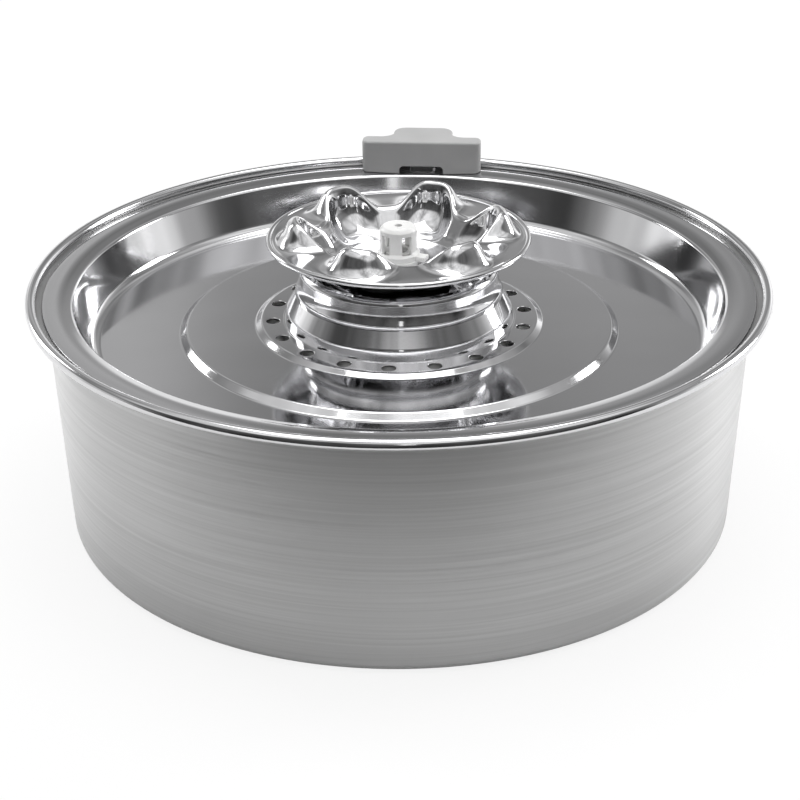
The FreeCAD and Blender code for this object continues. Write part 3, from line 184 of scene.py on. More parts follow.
# %% Lamps
TARGET = Vector((0, 0, 0.06))


def soft_box(name, angle, distance, height, size, watts):
    """A rectangular lamp: angle in degrees from the camera's line, distances in metres."""
    turn = math.radians(angle - 90) + VIEW_TURN
    at = Vector((distance * math.cos(turn), distance * math.sin(turn), height))
    lamp = bpy.data.lights.new(name, "AREA")
    lamp.shape = "RECTANGLE"
    lamp.size, lamp.size_y = size
    lamp.energy = watts
    box = bpy.data.objects.new(name, lamp)
    box.location = at
    box.rotation_euler = (TARGET - at).to_track_quat("-Z", "Y").to_euler()
    box.visible_camera = False
    scene.collection.objects.link(box)
    print(name, "at", [round(c, 2) for c in at], "watts", watts)


soft_box("right_box", 115, 1.3, 0.55, (0.40, 0.60), 6)
soft_box("left_box", -128, 1.3, 0.55, (0.30, 0.60), 3)
soft_box("front_strip", 2, 1.15, 0.55, (0.08, 0.40), 0.12)
soft_box("top_box", 180, 0.1, 1.6, (1.2, 1.2), 13)

# %% [markdown]
# The floor is one wide white sheet of paper. In front it ends just below the picture, so the steel's
# wall shows the paper at its sides and foot, and the dark room at its top in the middle.

# %% Floor
PAPER_SIZE = 6.0
PAPER_IN_FRONT = 0.21
floor_mesh = bmesh.new()
bmesh.ops.create_grid(floor_mesh, x_segments=1, y_segments=1, size=PAPER_SIZE,
                      matrix=Matrix.Rotation(VIEW_TURN, 4, "Z")
                      @ Matrix.Translation((0, PAPER_SIZE - PAPER_IN_FRONT, 0)))
floor_data = bpy.data.meshes.new("floor")
floor_mesh.to_mesh(floor_data)
floor_mesh.free()
floor = bpy.data.objects.new("floor", floor_data)
scene.collection.objects.link(floor)
print("paper ends", PAPER_IN_FRONT, "m in front of the bowl's middle")


# %% [markdown]
# A finish starts as one Principled shader. Fixed numbers go on its own sockets. What changes over the
# surface, such as the roughness or the fine bump, comes from noise in object coordinates, so it stays
# with the piece when the piece moves.

# %% Finish helpers
def start_finish(name, colour, metallic, roughness):
    material = bpy.data.materials.new(name)
    material.use_nodes = True
    shader = material.node_tree.nodes["Principled BSDF"]
    shader.inputs["Base Color"].default_value = (*colour, 1)
    shader.inputs["Metallic"].default_value = metallic
    shader.inputs["Roughness"].default_value = roughness
    return material, shader


def object_noise(material, scale, detail=3.0, stretch=(1, 1, 1)):
    """Noise in the piece's own coordinates, drawn out along an axis where stretch is small."""
    nodes, links = material.node_tree.nodes, material.node_tree.links
    place = nodes.new("ShaderNodeTexCoord")
    mapping = nodes.new("ShaderNodeMapping")
    mapping.inputs["Scale"].default_value = stretch
    noise = nodes.new("ShaderNodeTexNoise")
    noise.inputs["Scale"].default_value = scale
    noise.inputs["Detail"].default_value = detail
    links.new(place.outputs["Object"], mapping.inputs["Vector"])
    links.new(mapping.outputs["Vector"], noise.inputs["Vector"])
    return noise.outputs["Fac"]


def spread(material, value, low, high):
    """The same pattern between two other numbers."""
    node = material.node_tree.nodes.new("ShaderNodeMapRange")
    node.inputs["From Min"].default_value = 0.3
    node.inputs["From Max"].default_value = 0.7
    node.inputs["To Min"].default_value = low
    node.inputs["To Max"].default_value = high
    material.node_tree.links.new(value, node.inputs["Value"])
    return node.outputs["Result"]


def add_bump(material, shader, height, depth_mm, strength=1.0):
    bump = material.node_tree.nodes.new("ShaderNodeBump")
    bump.inputs["Distance"].default_value = depth_mm * MM
    bump.inputs["Strength"].default_value = strength
    material.node_tree.links.new(height, bump.inputs["Height"])
    if shader.inputs["Normal"].is_linked:
        material.node_tree.links.new(shader.inputs["Normal"].links[0].from_socket, bump.inputs["Normal"])
    material.node_tree.links.new(bump.outputs["Normal"], shader.inputs["Normal"])


def shade_between(material, shader, value, dark, light):
    """Base colour between two tones of the same pattern."""
    ramp = material.node_tree.nodes.new("ShaderNodeValToRGB")
    ramp.color_ramp.elements[0].position = 0.3
    ramp.color_ramp.elements[0].color = (*dark, 1)
    ramp.color_ramp.elements[1].position = 0.7
    ramp.color_ramp.elements[1].color = (*light, 1)
    material.node_tree.links.new(value, ramp.inputs["Fac"])
    material.node_tree.links.new(ramp.outputs["Color"], shader.inputs["Base Color"])


def roughness_from(material, shader, value, low, high):
    material.node_tree.links.new(spread(material, value, low, high), shader.inputs["Roughness"])


# %% [markdown]
# The floor's paper is white with the faintest mottling. The camera sees it almost as pure white, as in a
# catalogue picture, with only a trace of the shadow. The steel sees the paper as it is.

# %% Floor finish
paper, paper_shader = start_finish("paper", (0.93, 0.93, 0.93), 0.0, 0.9)
shade_between(paper, paper_shader, object_noise(paper, 3.0), (0.92, 0.92, 0.92), (0.94, 0.94, 0.94))
paper_shader.inputs["Specular IOR Level"].default_value = 0.0
paper_nodes, paper_links = paper.node_tree.nodes, paper.node_tree.links
pure_white = paper_nodes.new("ShaderNodeEmission")
seen = paper_nodes.new("ShaderNodeLightPath")
share_white = paper_nodes.new("ShaderNodeMath")
share_white.operation = "MULTIPLY"
share_white.inputs[1].default_value = 0.85
paper_mix = paper_nodes.new("ShaderNodeMixShader")
paper_links.new(seen.outputs["Is Camera Ray"], share_white.inputs[0])
paper_links.new(share_white.outputs["Value"], paper_mix.inputs["Fac"])
paper_links.new(paper_shader.outputs["BSDF"], paper_mix.inputs[1])
paper_links.new(pure_white.outputs["Emission"], paper_mix.inputs[2])
paper_links.new(paper_mix.outputs["Shader"], paper_nodes["Material Output"].inputs["Surface"])
print("white share of the paper for the camera:", share_white.inputs[1].default_value)
floor_data.materials.append(paper)

# %% [markdown]
# Brushed steel was ground by a belt while the bowl turned, so its lines run round it and its
# highlights are drawn out up and down the wall. Anisotropy with a tangent about Z, turned by a quarter,
# gives the long highlights, and noise that is hundreds of times finer in height than along the wall
# gives the lines.

# %% Brushed steel
brushed, shader = start_finish("brushed_bowl", (0.55, 0.55, 0.55), 1.0, 0.5)
shader.inputs["Anisotropic"].default_value = 0.86
shader.inputs["Anisotropic Rotation"].default_value = 0.25
tangent = brushed.node_tree.nodes.new("ShaderNodeTangent")
tangent.direction_type = "RADIAL"
tangent.axis = "Z"
brushed.node_tree.links.new(tangent.outputs["Tangent"], shader.inputs["Tangent"])
fine_lines = object_noise(brushed, 14.0, 6.0, (1, 1, 260))
roughness_from(brushed, shader, fine_lines, 0.35, 0.45)
add_bump(brushed, shader, fine_lines, 0.004)
BRUSHED_DARK = (0.49, 0.49, 0.49)
BRUSHED_LIGHT = (0.58, 0.58, 0.58)
shade_between(brushed, shader, object_noise(brushed, 9.0, 6.0, (1, 1, 110)), BRUSHED_DARK, BRUSHED_LIGHT)
print("brushed steel between", BRUSHED_DARK, "and", BRUSHED_LIGHT)

# %% [markdown]
# The tray, column and dish are buffed to a mirror. A real buffed pressing is never quite flat: it has
# long shallow waves that bend the reflections, and a haze of hairlines from wiping.

# %% Polished steel
def polished_steel(name, wave_mm, haze):
    material, shader = start_finish(name, (0.66, 0.66, 0.67), 1.0, 0.08)
    add_bump(material, shader, object_noise(material, 28.0, 1.0), wave_mm)
    add_bump(material, shader, object_noise(material, 900.0, 4.0), 0.002)
    roughness_from(material, shader, object_noise(material, 40.0, 6.0), 0.05, haze)
    return material


tray_steel = polished_steel("polished_tray", 0.10, 0.13)
flower_steel = polished_steel("polished_flower", 0.06, 0.10)


# %% [markdown]
# Every pressing is a line turned about Z. The line is drawn as a few corners, and the bevel operator
# rounds each corner with its real bend. Drawing the arcs by hand would need far more points.

# %% Line and spin helpers
def round_corners(bm, verts, bends):
    """Rounds each vertex of a line with its own bend."""
    for vert, bend in zip(verts, bends):
        if bend > 0:
            to_a, to_b = [edge.other_vert(vert).co - vert.co for edge in vert.link_edges]
            half = to_a.angle(to_b) / 2
            turn = math.degrees(math.pi - 2 * half)
            bmesh.ops.bevel(bm, geom=[vert], offset=bend * MM / math.tan(half), offset_type="OFFSET",
                            segments=max(3, round(turn / 6)), profile=0.5, affect="VERTICES", material=-1)


def draw_line(bm, corners):
    """An open line of (radius, height, bend) in the XZ plane, with its corners rounded."""
    verts = [bm.verts.new((radius * MM, 0, height * MM)) for radius, height, bend in corners]
    for a, b in zip(verts, verts[1:]):
        bm.edges.new((a, b))
    round_corners(bm, verts, [bend for radius, height, bend in corners])


def spin_all(bm, steps=STEPS, angle=2 * math.pi, copies=False):
    """Turns everything about Z. A whole turn is welded where it closes."""
    return bmesh.ops.spin(bm, geom=bm.verts[:] + bm.edges[:] + bm.faces[:], cent=(0, 0, 0), axis=(0, 0, 1),
                          dvec=(0, 0, 0), angle=angle, steps=steps, use_duplicate=copies,
                          use_normal_flip=False, use_merge=angle > 6.28 and not copies)


def add_bead(bm, ring_radius, height, bead_radius, sides=20):
    """A rolled edge: a small circle turned about Z."""
    own = bmesh.new()
    upright = Matrix.Translation((ring_radius * MM, 0, height * MM)) @ Matrix.Rotation(math.pi / 2, 4, "X")
    bmesh.ops.create_circle(own, segments=sides, radius=bead_radius * MM, matrix=upright)
    spin_all(own)
    bmesh.ops.remove_doubles(own, verts=own.verts, dist=1e-7)
    bmesh.ops.recalc_face_normals(own, faces=own.faces)
    loose = bpy.data.meshes.new("bead")
    own.to_mesh(loose)
    own.free()
    bm.from_mesh(loose)
    bpy.data.meshes.remove(loose)


# %% [markdown]
# A finished piece goes into the scene, rides on the body that it belongs to and stands for its solid.
# Faces are smooth, except across edges that are really sharp.

# %% Piece helpers
def face_up(bm, upward=True):
    """Turns an open sheet so that most of it looks up, or down."""
    tilt = sum(face.normal.z * face.calc_area() for face in bm.faces)
    if (tilt > 0) != upward:
        bmesh.ops.reverse_faces(bm, faces=bm.faces[:])


def place_piece(bm, name, body, material, node, sharp=35):
    mesh = bpy.data.meshes.new(name)
    bm.to_mesh(mesh)
    bm.free()
    mesh.materials.append(material)
    mesh.polygons.foreach_set("use_smooth", [True] * len(mesh.polygons))
    mesh.set_sharp_from_angle(angle=math.radians(sharp))
    piece = bpy.data.objects.new(name, mesh)
    scene.collection.objects.link(piece)
    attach(piece, body)
    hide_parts(node)
    print(name, "faces:", len(mesh.polygons))
    return piece


def give_thickness(piece, wall_mm=SHEET, edge_mm=0.18):
    """A wall behind the drawn face, softened edges and even shading."""
    wall = piece.modifiers.new("wall", "SOLIDIFY")
    wall.thickness = wall_mm * MM
    wall.offset = -1
    wall.use_even_offset = True
    soften = piece.modifiers.new("edges", "BEVEL")
    soften.width = edge_mm * MM
    soften.segments = 2
    soften.limit_method = "ANGLE"
    soften.angle_limit = math.radians(50)
    even_shading(piece)


def even_shading(piece):
    even = piece.modifiers.new("shading", "WEIGHTED_NORMAL")
    even.keep_sharp = True
    even.weight = 80


# %% [markdown]
# The bowl is deep-drawn: flat underneath, an almost upright wall, and at the top a ledge for the tray
# that ends in a rolled rim. Its outer face is one line, and the wall's thickness goes inwards. The line
# stops short of the middle, and one flat face fills the rest, because hundreds of thin triangles that
# meet in a point would spoil the wall.

# %% Bowl
RIM_RADIUS = 130.0
RIM_BEAD = 1.9
LEDGE_TOP = 84.3
BASE_RADIUS = 119.4
BASE_BEND = 4.5
WALL_TOP_RADIUS = 123.0
NECK_BEND = 2.2
LINE_START = 20.0

bowl_bm = bmesh.new()
draw_line(bowl_bm, [(LINE_START, 0.0, 0), (BASE_RADIUS, 0.0, BASE_BEND),
                    (WALL_TOP_RADIUS, LEDGE_TOP - SHEET, NECK_BEND),
                    (RIM_RADIUS - RIM_BEAD, LEDGE_TOP - SHEET, 0)])
spin_all(bowl_bm)
middle_of_base = [edge for edge in bowl_bm.edges
                  if edge.is_boundary and edge.verts[0].co.xy.length < (LINE_START + 1) * MM]
bmesh.ops.edgeloop_fill(bowl_bm, edges=middle_of_base)
bmesh.ops.recalc_face_normals(bowl_bm, faces=bowl_bm.faces)
face_up(bowl_bm, upward=False)
bowl = place_piece(bowl_bm, "steel_bowl", "bowl", brushed, "bowl")
give_thickness(bowl)

# %% [markdown]
# The rolled rim is a ring of its own in the same steel, polished by the tray that slides past it.

# %% Rim
rim_bm = bmesh.new()
add_bead(rim_bm, RIM_RADIUS - RIM_BEAD, RIM_PLANE, RIM_BEAD)
place_piece(rim_bm, "rolled_rim", "bowl", tray_steel, "bowl")

# %% [markdown]
# The tray's floor steps up twice towards the column, and the top step has eighteen drain holes. A
# boolean would cut them, but it leaves ragged faces. Here one eighteenth of the ring is made with its
# hole, as an outline bridged to a circle, and copied round.

# %% Drain ring
PLATEAU = 71.9
OPENING = 36.0
RING_EDGE = 47.9
DRAINS = 18
DRAIN_CIRCLE = 44.8
DRAIN_RADIUS = 2.5
SIDE_CUTS = 4

tray_bm = bmesh.new()
side = [tray_bm.verts.new(((OPENING + (RING_EDGE - OPENING) * k / SIDE_CUTS) * MM, 0, PLATEAU * MM))
        for k in range(SIDE_CUTS + 1)]
for a, b in zip(side, side[1:]):
    tray_bm.edges.new((a, b))
wedge = 2 * math.pi / DRAINS
spin_all(tray_bm, steps=STEPS // DRAINS, angle=wedge)
bmesh.ops.dissolve_faces(tray_bm, faces=tray_bm.faces[:])
outline = tray_bm.edges[:]
bmesh.ops.delete(tray_bm, geom=tray_bm.faces[:], context="FACES_ONLY")
middle = wedge / 2
hole_at = Vector((math.cos(middle) * DRAIN_CIRCLE, math.sin(middle) * DRAIN_CIRCLE, PLATEAU)) * MM
hole = bmesh.ops.create_circle(tray_bm, segments=len(outline), radius=DRAIN_RADIUS * MM,
                               matrix=Matrix.Translation(hole_at) @ Matrix.Rotation(middle, 4, "Z"))
hole_edges = list({edge for vert in hole["verts"] for edge in vert.link_edges})
bmesh.ops.bridge_loops(tray_bm, edges=outline + hole_edges)
spin_all(tray_bm, steps=DRAINS - 1, angle=2 * math.pi - wedge, copies=True)
bmesh.ops.remove_doubles(tray_bm, verts=tray_bm.verts, dist=1e-6)
print("drain ring faces:", len(tray_bm.faces), "edges at the outline:", len(outline))

# %% [markdown]
# The rest of the tray is one turned line: two steps, the floor, the basin's wall and the crowned
# flange that rests on the bowl's ledge. It is joined to the drain ring where the two meet.

# %% Tray
TRAY_RADIUS = 124.2
FLANGE_TOP = 85.0
CROWN_RADIUS = 119.5
CROWN_TOP = 85.6
BASIN_RADIUS = 113.9
BASIN_EDGE = 84.2
TERRACE = 70.4
FLOOR = 68.3
PRESS_BEND = 1.2
TRAY_LINE = [(RING_EDGE, PLATEAU, 0),
             (48.8, PLATEAU, PRESS_BEND), (51.0, TERRACE, PRESS_BEND),
             (75.2, TERRACE, PRESS_BEND), (77.6, FLOOR, PRESS_BEND),
             (108.3, FLOOR, 4.5), (BASIN_RADIUS, BASIN_EDGE, 1.6),
             (CROWN_RADIUS, CROWN_TOP, 18.0), (TRAY_RADIUS, FLANGE_TOP, 0)]

pressing = bmesh.new()
draw_line(pressing, TRAY_LINE)
spin_all(pressing)
pressing_mesh = bpy.data.meshes.new("pressing")
pressing.to_mesh(pressing_mesh)
pressing.free()
tray_bm.from_mesh(pressing_mesh)
bpy.data.meshes.remove(pressing_mesh)
bmesh.ops.remove_doubles(tray_bm, verts=tray_bm.verts, dist=1e-5)
bmesh.ops.recalc_face_normals(tray_bm, faces=tray_bm.faces)
face_up(tray_bm)
print("tray faces before the notch:", len(tray_bm.faces))

# %% [markdown]
# The cord leaves the bowl through a notch in the flange, under the clip. Five flat cuts outline a
# window, and the faces between them go. The nozzle's windows are cut the same way.

# %% Cord notch
NOTCH_WIDTH = 9.0
NOTCH_DEPTH = 7.4
REACH = 5


def cut_opening(bm, turn, half_width, low, high, from_radius):
    """Cuts a window through a turned sheet: turn is its angle from +X, low and high are heights."""
    out = Vector((math.cos(turn), math.sin(turn), 0))
    across = Vector((-out.y, out.x, 0))

    def near(margin):
        found = []
        for face in bm.faces:
            centre = face.calc_center_median() / MM
            if (abs(centre.dot(across)) < half_width + margin and centre.dot(out) > from_radius - margin
                    and low - margin < centre.z < high + margin):
                found.append(face)
        return found

    upwards = Vector((0, 0, 1))
    for point, normal in ((across * half_width, across), (across * -half_width, across),
                          (out * from_radius, out), (upwards * low, upwards), (upwards * high, upwards)):
        geometry = set()
        for face in near(REACH):
            geometry.update([face, *face.edges, *face.verts])
        bmesh.ops.bisect_plane(bm, geom=list(geometry), dist=1e-7, plane_co=point * MM, plane_no=normal)
    inside = near(0)
    bmesh.ops.delete(bm, geom=inside, context="FACES")
    return len(inside)


removed = cut_opening(tray_bm, math.pi / 2, NOTCH_WIDTH / 2, 80, 90, TRAY_RADIUS - NOTCH_DEPTH)
print("notch faces removed:", removed)
tray = place_piece(tray_bm, "steel_tray", "tray", tray_steel, "tray")
give_thickness(tray)

# %% [markdown]
# The column is spun: a short skirt that stands on the tray, a waist, and a closed top with a port in
# the middle for the water.

# %% Column
COLUMN_TOP = 91.2
COLUMN_LINE = [(40.5, PLATEAU, 0), (39.9, 75.8, 2.6), (34.7, 84.6, 12.0),
               (34.0, COLUMN_TOP, 2.0), (12.0, COLUMN_TOP, 0)]

column_bm = bmesh.new()
draw_line(column_bm, COLUMN_LINE)
spin_all(column_bm)
face_up(column_bm)
column = place_piece(column_bm, "steel_column", "tray", flower_steel, "column")
give_thickness(column)

# %% [markdown]
# The dish is stamped with six lobes. It starts as a flat ring of quads, and every point is then moved
# to where the stamping tool would push it: between a section through a lobe and a section through a
# fold. A sculpted or subdivided cage would be softer, but the tool's sections are known.

# %% Dish sections
DISH_FLOOR = 93.0
FLOOR_RADIUS = 20.0
DISH_BORE = 5.3
DISH_EDGE = 44.26
DISH_BEAD = 1.0
DISH_BEAD_RADIUS = 45.2
DISH_RISE = 9.0
LOBE_TOP = (35.5, 17.1)
FOLD_TOP = (29.2, 9.2)
LOBES = 6
LOBE_PHASE = math.radians(12.4)


def section(top, inside, outside):
    """Points (radius, rise) over a top, from shares of the way to it and past it."""
    radius, rise = top
    points = [(FLOOR_RADIUS + w * (radius - FLOOR_RADIUS), h * rise) for w, h in inside]
    points += [(radius + w * (DISH_EDGE - radius), DISH_RISE + h * (rise - DISH_RISE)) for w, h in outside]
    return points


LOBE = section(LOBE_TOP, [(0.0, 0.0), (0.45, 0.1), (0.8, 0.45), (0.9, 0.87), (1.0, 1.0)],
               [(0.29, 0.84), (0.57, 0.3), (0.82, -0.02), (1.0, 0.0)])
FOLD = section(FOLD_TOP, [(0.0, 0.0), (0.38, 0.26), (0.68, 0.68), (0.84, 0.91), (1.0, 1.0)],
               [(0.12, 0.9), (0.4, 0.33), (0.75, -0.33), (1.0, 0.0)])


def along(points, axis, t):
    """A smooth curve through evenly spaced points, for t from 0 to 1."""
    spans = len(points) - 1
    i = min(int(t * spans), spans - 1)
    u = t * spans - i
    a, b, c, d = [points[k][axis] for k in (max(i - 1, 0), i, i + 1, min(i + 2, spans))]
    square = (2 * a - 5 * b + 4 * c - d) * u ** 2
    cubic = (3 * (b - c) + d - a) * u ** 3
    return 0.5 * (2 * b + (c - a) * u + square + cubic)


print("lobe from", LOBE[0], "over", LOBE_TOP, "to", LOBE[-1])

# %% Dish
RINGS = 56
dish_bm = bmesh.new()
spoke = [dish_bm.verts.new((1 + k / RINGS, 0, 0)) for k in range(RINGS + 1)]
for a, b in zip(spoke, spoke[1:]):
    dish_bm.edges.new((a, b))
spin_all(dish_bm)
for vert in dish_bm.verts:
    t = vert.co.xy.length - 1
    turn = math.atan2(vert.co.y, vert.co.x)
    wave = 0.5 + 0.5 * math.cos(LOBES * (turn - LOBE_PHASE))
    share = wave * wave * (3 - 2 * wave)
    t = min(max(t, 0), 1)
    radius = share * along(LOBE, 0, t) + (1 - share) * along(FOLD, 0, t)
    rise = share * along(LOBE, 1, t) + (1 - share) * along(FOLD, 1, t)
    vert.co = Vector((radius * math.cos(turn), radius * math.sin(turn), DISH_FLOOR + rise)) * MM
inner = [edge for edge in dish_bm.edges
         if edge.is_boundary and edge.verts[0].co.xy.length < (FLOOR_RADIUS + 1) * MM]
for radius in (16.0, 10.0, DISH_BORE):
    ring = bmesh.ops.extrude_edge_only(dish_bm, edges=inner)["geom"]
    inner = [g for g in ring if isinstance(g, bmesh.types.BMEdge)]
    for vert in {v for edge in inner for v in edge.verts}:
        vert.co.xy = vert.co.xy.normalized() * radius * MM
bmesh.ops.recalc_face_normals(dish_bm, faces=dish_bm.faces)
face_up(dish_bm)
dish = place_piece(dish_bm, "lobed_dish", "flower", flower_steel, "flower_dish")
give_thickness(dish)

# %% Rolled edge of the dish
edge_bm = bmesh.new()
add_bead(edge_bm, DISH_BEAD_RADIUS, DISH_FLOOR + DISH_RISE - SHEET / 2, DISH_BEAD, 14)
place_piece(edge_bm, "dish_edge", "flower", flower_steel, "flower_dish")


# %% [markdown]
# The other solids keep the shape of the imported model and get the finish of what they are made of.

# %% Plastics and rubbers
def moulded(name, colour, roughness, grain_scale=1500.0, grain_mm=0.006, spread_by=0.06):
    """Injection-moulded plastic or rubber: fine grain, and a little change in gloss and tone."""
    material, shader = start_finish(name, colour, 0.0, roughness)
    tone = object_noise(material, 60.0, 3.0)
    roughness_from(material, shader, tone, roughness - spread_by, roughness + spread_by)
    shade_between(material, shader, tone, [c * 0.94 for c in colour], [min(c * 1.06, 1) for c in colour])
    add_bump(material, shader, object_noise(material, grain_scale, 2.0), grain_mm)
    return material, shader


grey_plastic, _ = moulded("grey_plastic", (0.42, 0.42, 0.42), 0.5)
white_plastic, white_shader = moulded("white_plastic", (0.86, 0.86, 0.85), 0.3)
white_shader.inputs["Subsurface Weight"].default_value = 0.25
white_shader.inputs["Subsurface Radius"].default_value = (0.002, 0.002, 0.002)
white_shader.inputs["Subsurface Scale"].default_value = 1.0
pump_plastic, _ = moulded("pump_plastic", (0.055, 0.055, 0.06), 0.42)
black_rubber, _ = moulded("black_rubber", (0.035, 0.035, 0.035), 0.65, 900.0, 0.01)
silicone, silicone_shader = moulded("silicone", (0.7, 0.71, 0.71), 0.4)
silicone_shader.inputs["Subsurface Weight"].default_value = 0.3
silicone_shader.inputs["Subsurface Radius"].default_value = (0.002, 0.002, 0.002)
silicone_shader.inputs["Subsurface Scale"].default_value = 1.0

# %% [markdown]
# Inside the motor are laminated steel, enamelled copper wire and a sintered magnet. Each shows its
# making: sheets on edge, wire laid side by side, and pressed powder.

# %% Motor finishes
core_steel, shader = start_finish("core_steel", (0.3, 0.3, 0.31), 0.9, 0.45)
sheets = object_noise(core_steel, 20.0, 2.0, (1, 1, 90))
add_bump(core_steel, shader, sheets, 0.05)
roughness_from(core_steel, shader, sheets, 0.35, 0.6)

winding, shader = start_finish("copper_winding", (0.62, 0.28, 0.14), 0.9, 0.3)
wires = winding.node_tree.nodes.new("ShaderNodeTexWave")
wires.bands_direction = "Y"
wires.inputs["Scale"].default_value = 620.0
wires.inputs["Distortion"].default_value = 0.4
wire_place = winding.node_tree.nodes.new("ShaderNodeTexCoord")
winding.node_tree.links.new(wire_place.outputs["Object"], wires.inputs["Vector"])
add_bump(winding, shader, wires.outputs["Fac"], 0.1)

magnet, shader = start_finish("magnet", (0.07, 0.07, 0.075), 0.3, 0.55)
powder = object_noise(magnet, 1200.0, 4.0)
add_bump(magnet, shader, powder, 0.02)
roughness_from(magnet, shader, powder, 0.45, 0.65)

ceramic, shader = start_finish("ceramic", (0.9, 0.89, 0.86), 0.0, 0.2)
ground = object_noise(ceramic, 500.0, 3.0, (1, 8, 1))
roughness_from(ceramic, shader, ground, 0.14, 0.28)
add_bump(ceramic, shader, ground, 0.003)


# %% [markdown]
# The filter's filling is loose: carbon and resin are grains, cotton and foam are soft.

# %% Filling finishes
def grains(name, colour, size_scale, roughness):
    material, shader = start_finish(name, colour, 0.0, roughness)
    nodes, links = material.node_tree.nodes, material.node_tree.links
    place = nodes.new("ShaderNodeTexCoord")
    grain_cells_and_gap_shade = nodes.new("ShaderNodeTexVoronoi")
    grain_cells_and_gap_shade.inputs["Scale"].default_value = size_scale
    links.new(place.outputs["Object"], grain_cells_and_gap_shade.inputs["Vector"])
    add_bump(material, shader, grain_cells_and_gap_shade.outputs["Distance"], -0.5)
    # Painted shade: each grain is painted darker towards its sunken edge and in the gaps between grains.
    shade_between(material, shader, grain_cells_and_gap_shade.outputs["Distance"], colour, [c * 0.6 for c in colour])
    return material


carbon = grains("carbon", (0.03, 0.03, 0.03), 700.0, 0.5)
resin = grains("resin", (0.72, 0.5, 0.2), 900.0, 0.25)
cotton, cotton_shader = start_finish("cotton", (0.88, 0.88, 0.87), 0.0, 0.95)
cotton_shader.inputs["Sheen Weight"].default_value = 0.4
fibres = object_noise(cotton, 350.0, 8.0)
add_bump(cotton, cotton_shader, fibres, 0.4)
foam, foam_shader = start_finish("foam", (0.08, 0.08, 0.09), 0.0, 0.95)
pores_and_pore_shade = object_noise(foam, 900.0, 2.0)
add_bump(foam, foam_shader, pores_and_pore_shade, 0.5)
# Painted shade: the foam is painted darker where its pores sink, as shade falls in them.
shade_between(foam, foam_shader, pores_and_pore_shade, (0.03, 0.03, 0.035), (0.1, 0.1, 0.11))

# %% [markdown]
# The clip's grey cover is moulded: a T seen from above, with rounded corners and hollow inside. Its
# outline is drawn once, filled and pulled down. The wide front goes on down to the tray's flange, and
# the narrow tongue stops where the hook begins. Two flat walls get an arched opening for the cord.

# %% Clip cover
CLIP_TOP = 98.0
CLIP_PARTING = 91.4
CLIP_FRONT, CLIP_STEP, CLIP_END = 114.7, 122.7, 134.6
CLIP_HALF, TONGUE_HALF = 24.0, 12.0
CLIP_WALL = 2.0
CORNER, SHOULDER, TOP_ROUND = 2.6, 5.0, 1.0
FLANGE_GAP = 0.2
HOOK_HALF, HOOK_TOP, HOOK_CORNER = 5.0, 95.0, 0.3
CORD_HALF, CORD_TOP, CORD_CORNER = 8.9, 87.8, 1.8


def flange_height(x, y):
    """Top of the tray's flange under a place of the plan, in millimetres."""
    radius = math.hypot(x, y)
    if radius < CROWN_RADIUS:
        return BASIN_EDGE + (radius - BASIN_RADIUS) / (CROWN_RADIUS - BASIN_RADIUS) * (CROWN_TOP - BASIN_EDGE)
    return CROWN_TOP - (radius - CROWN_RADIUS) / (TRAY_RADIUS - CROWN_RADIUS) * (CROWN_TOP - FLANGE_TOP)


def open_wall(bm, wall, half_width, low, high, corner):
    """Makes a flat wall again with an arched opening in its lower edge."""
    depth = wall.verts[0].co.y
    verts = sorted(wall.verts, key=lambda v: v.co.z)
    left, right = sorted(verts[:2], key=lambda v: v.co.x)
    upper_left, upper_right = sorted(verts[2:], key=lambda v: v.co.x)
    bmesh.ops.delete(bm, geom=[wall], context="FACES_ONLY")
    quarter = [math.radians(k * 15) for k in range(7)]
    arch = []
    for side in (-1, 1):
        points = [(side * half_width, low)]
        points += [(side * (half_width - corner + corner * math.cos(turn)),
                    high - corner + corner * math.sin(turn)) for turn in quarter]
        arch += points if side < 0 else points[::-1]
    inner = [bm.verts.new((x * MM, depth, z * MM)) for x, z in arch]
    bm.faces.new([upper_left, left, *inner, right, upper_right])


cover_bm = bmesh.new()
plan = [(-CLIP_HALF, CLIP_FRONT, CORNER), (CLIP_HALF, CLIP_FRONT, CORNER),
        (CLIP_HALF, CLIP_STEP, CORNER), (TONGUE_HALF, CLIP_STEP, SHOULDER),
        (TONGUE_HALF, CLIP_END, SHOULDER), (-TONGUE_HALF, CLIP_END, SHOULDER),
        (-TONGUE_HALF, CLIP_STEP, SHOULDER), (-CLIP_HALF, CLIP_STEP, CORNER)]
verts = [cover_bm.verts.new((x * MM, y * MM, CLIP_TOP * MM)) for x, y, bend in plan]
for a, b in zip(verts, verts[1:] + verts[:1]):
    cover_bm.edges.new((a, b))
round_corners(cover_bm, verts, [bend for x, y, bend in plan])
outline = cover_bm.edges[:]
bmesh.ops.edgeloop_fill(cover_bm, edges=outline)


def pull_down(bm, edges, height_at):
    """Walls from these edges down to a height that may change over the plan."""
    made = bmesh.ops.extrude_edge_only(bm, edges=edges)["geom"]
    for vert in [g for g in made if isinstance(g, bmesh.types.BMVert)]:
        vert.co.z = height_at(vert.co.x / MM, vert.co.y / MM) * MM
    return [g for g in made if isinstance(g, bmesh.types.BMEdge)]


parting = pull_down(cover_bm, outline, lambda x, y: CLIP_PARTING)
front = [edge for edge in parting if max(v.co.y for v in edge.verts) < (CLIP_STEP + 0.01) * MM]
lower = pull_down(cover_bm, front, lambda x, y: flange_height(x, y) + FLANGE_GAP)
print("clip outline:", len(outline), "edges, front part:", len(front), "lower edges:", len(lower))

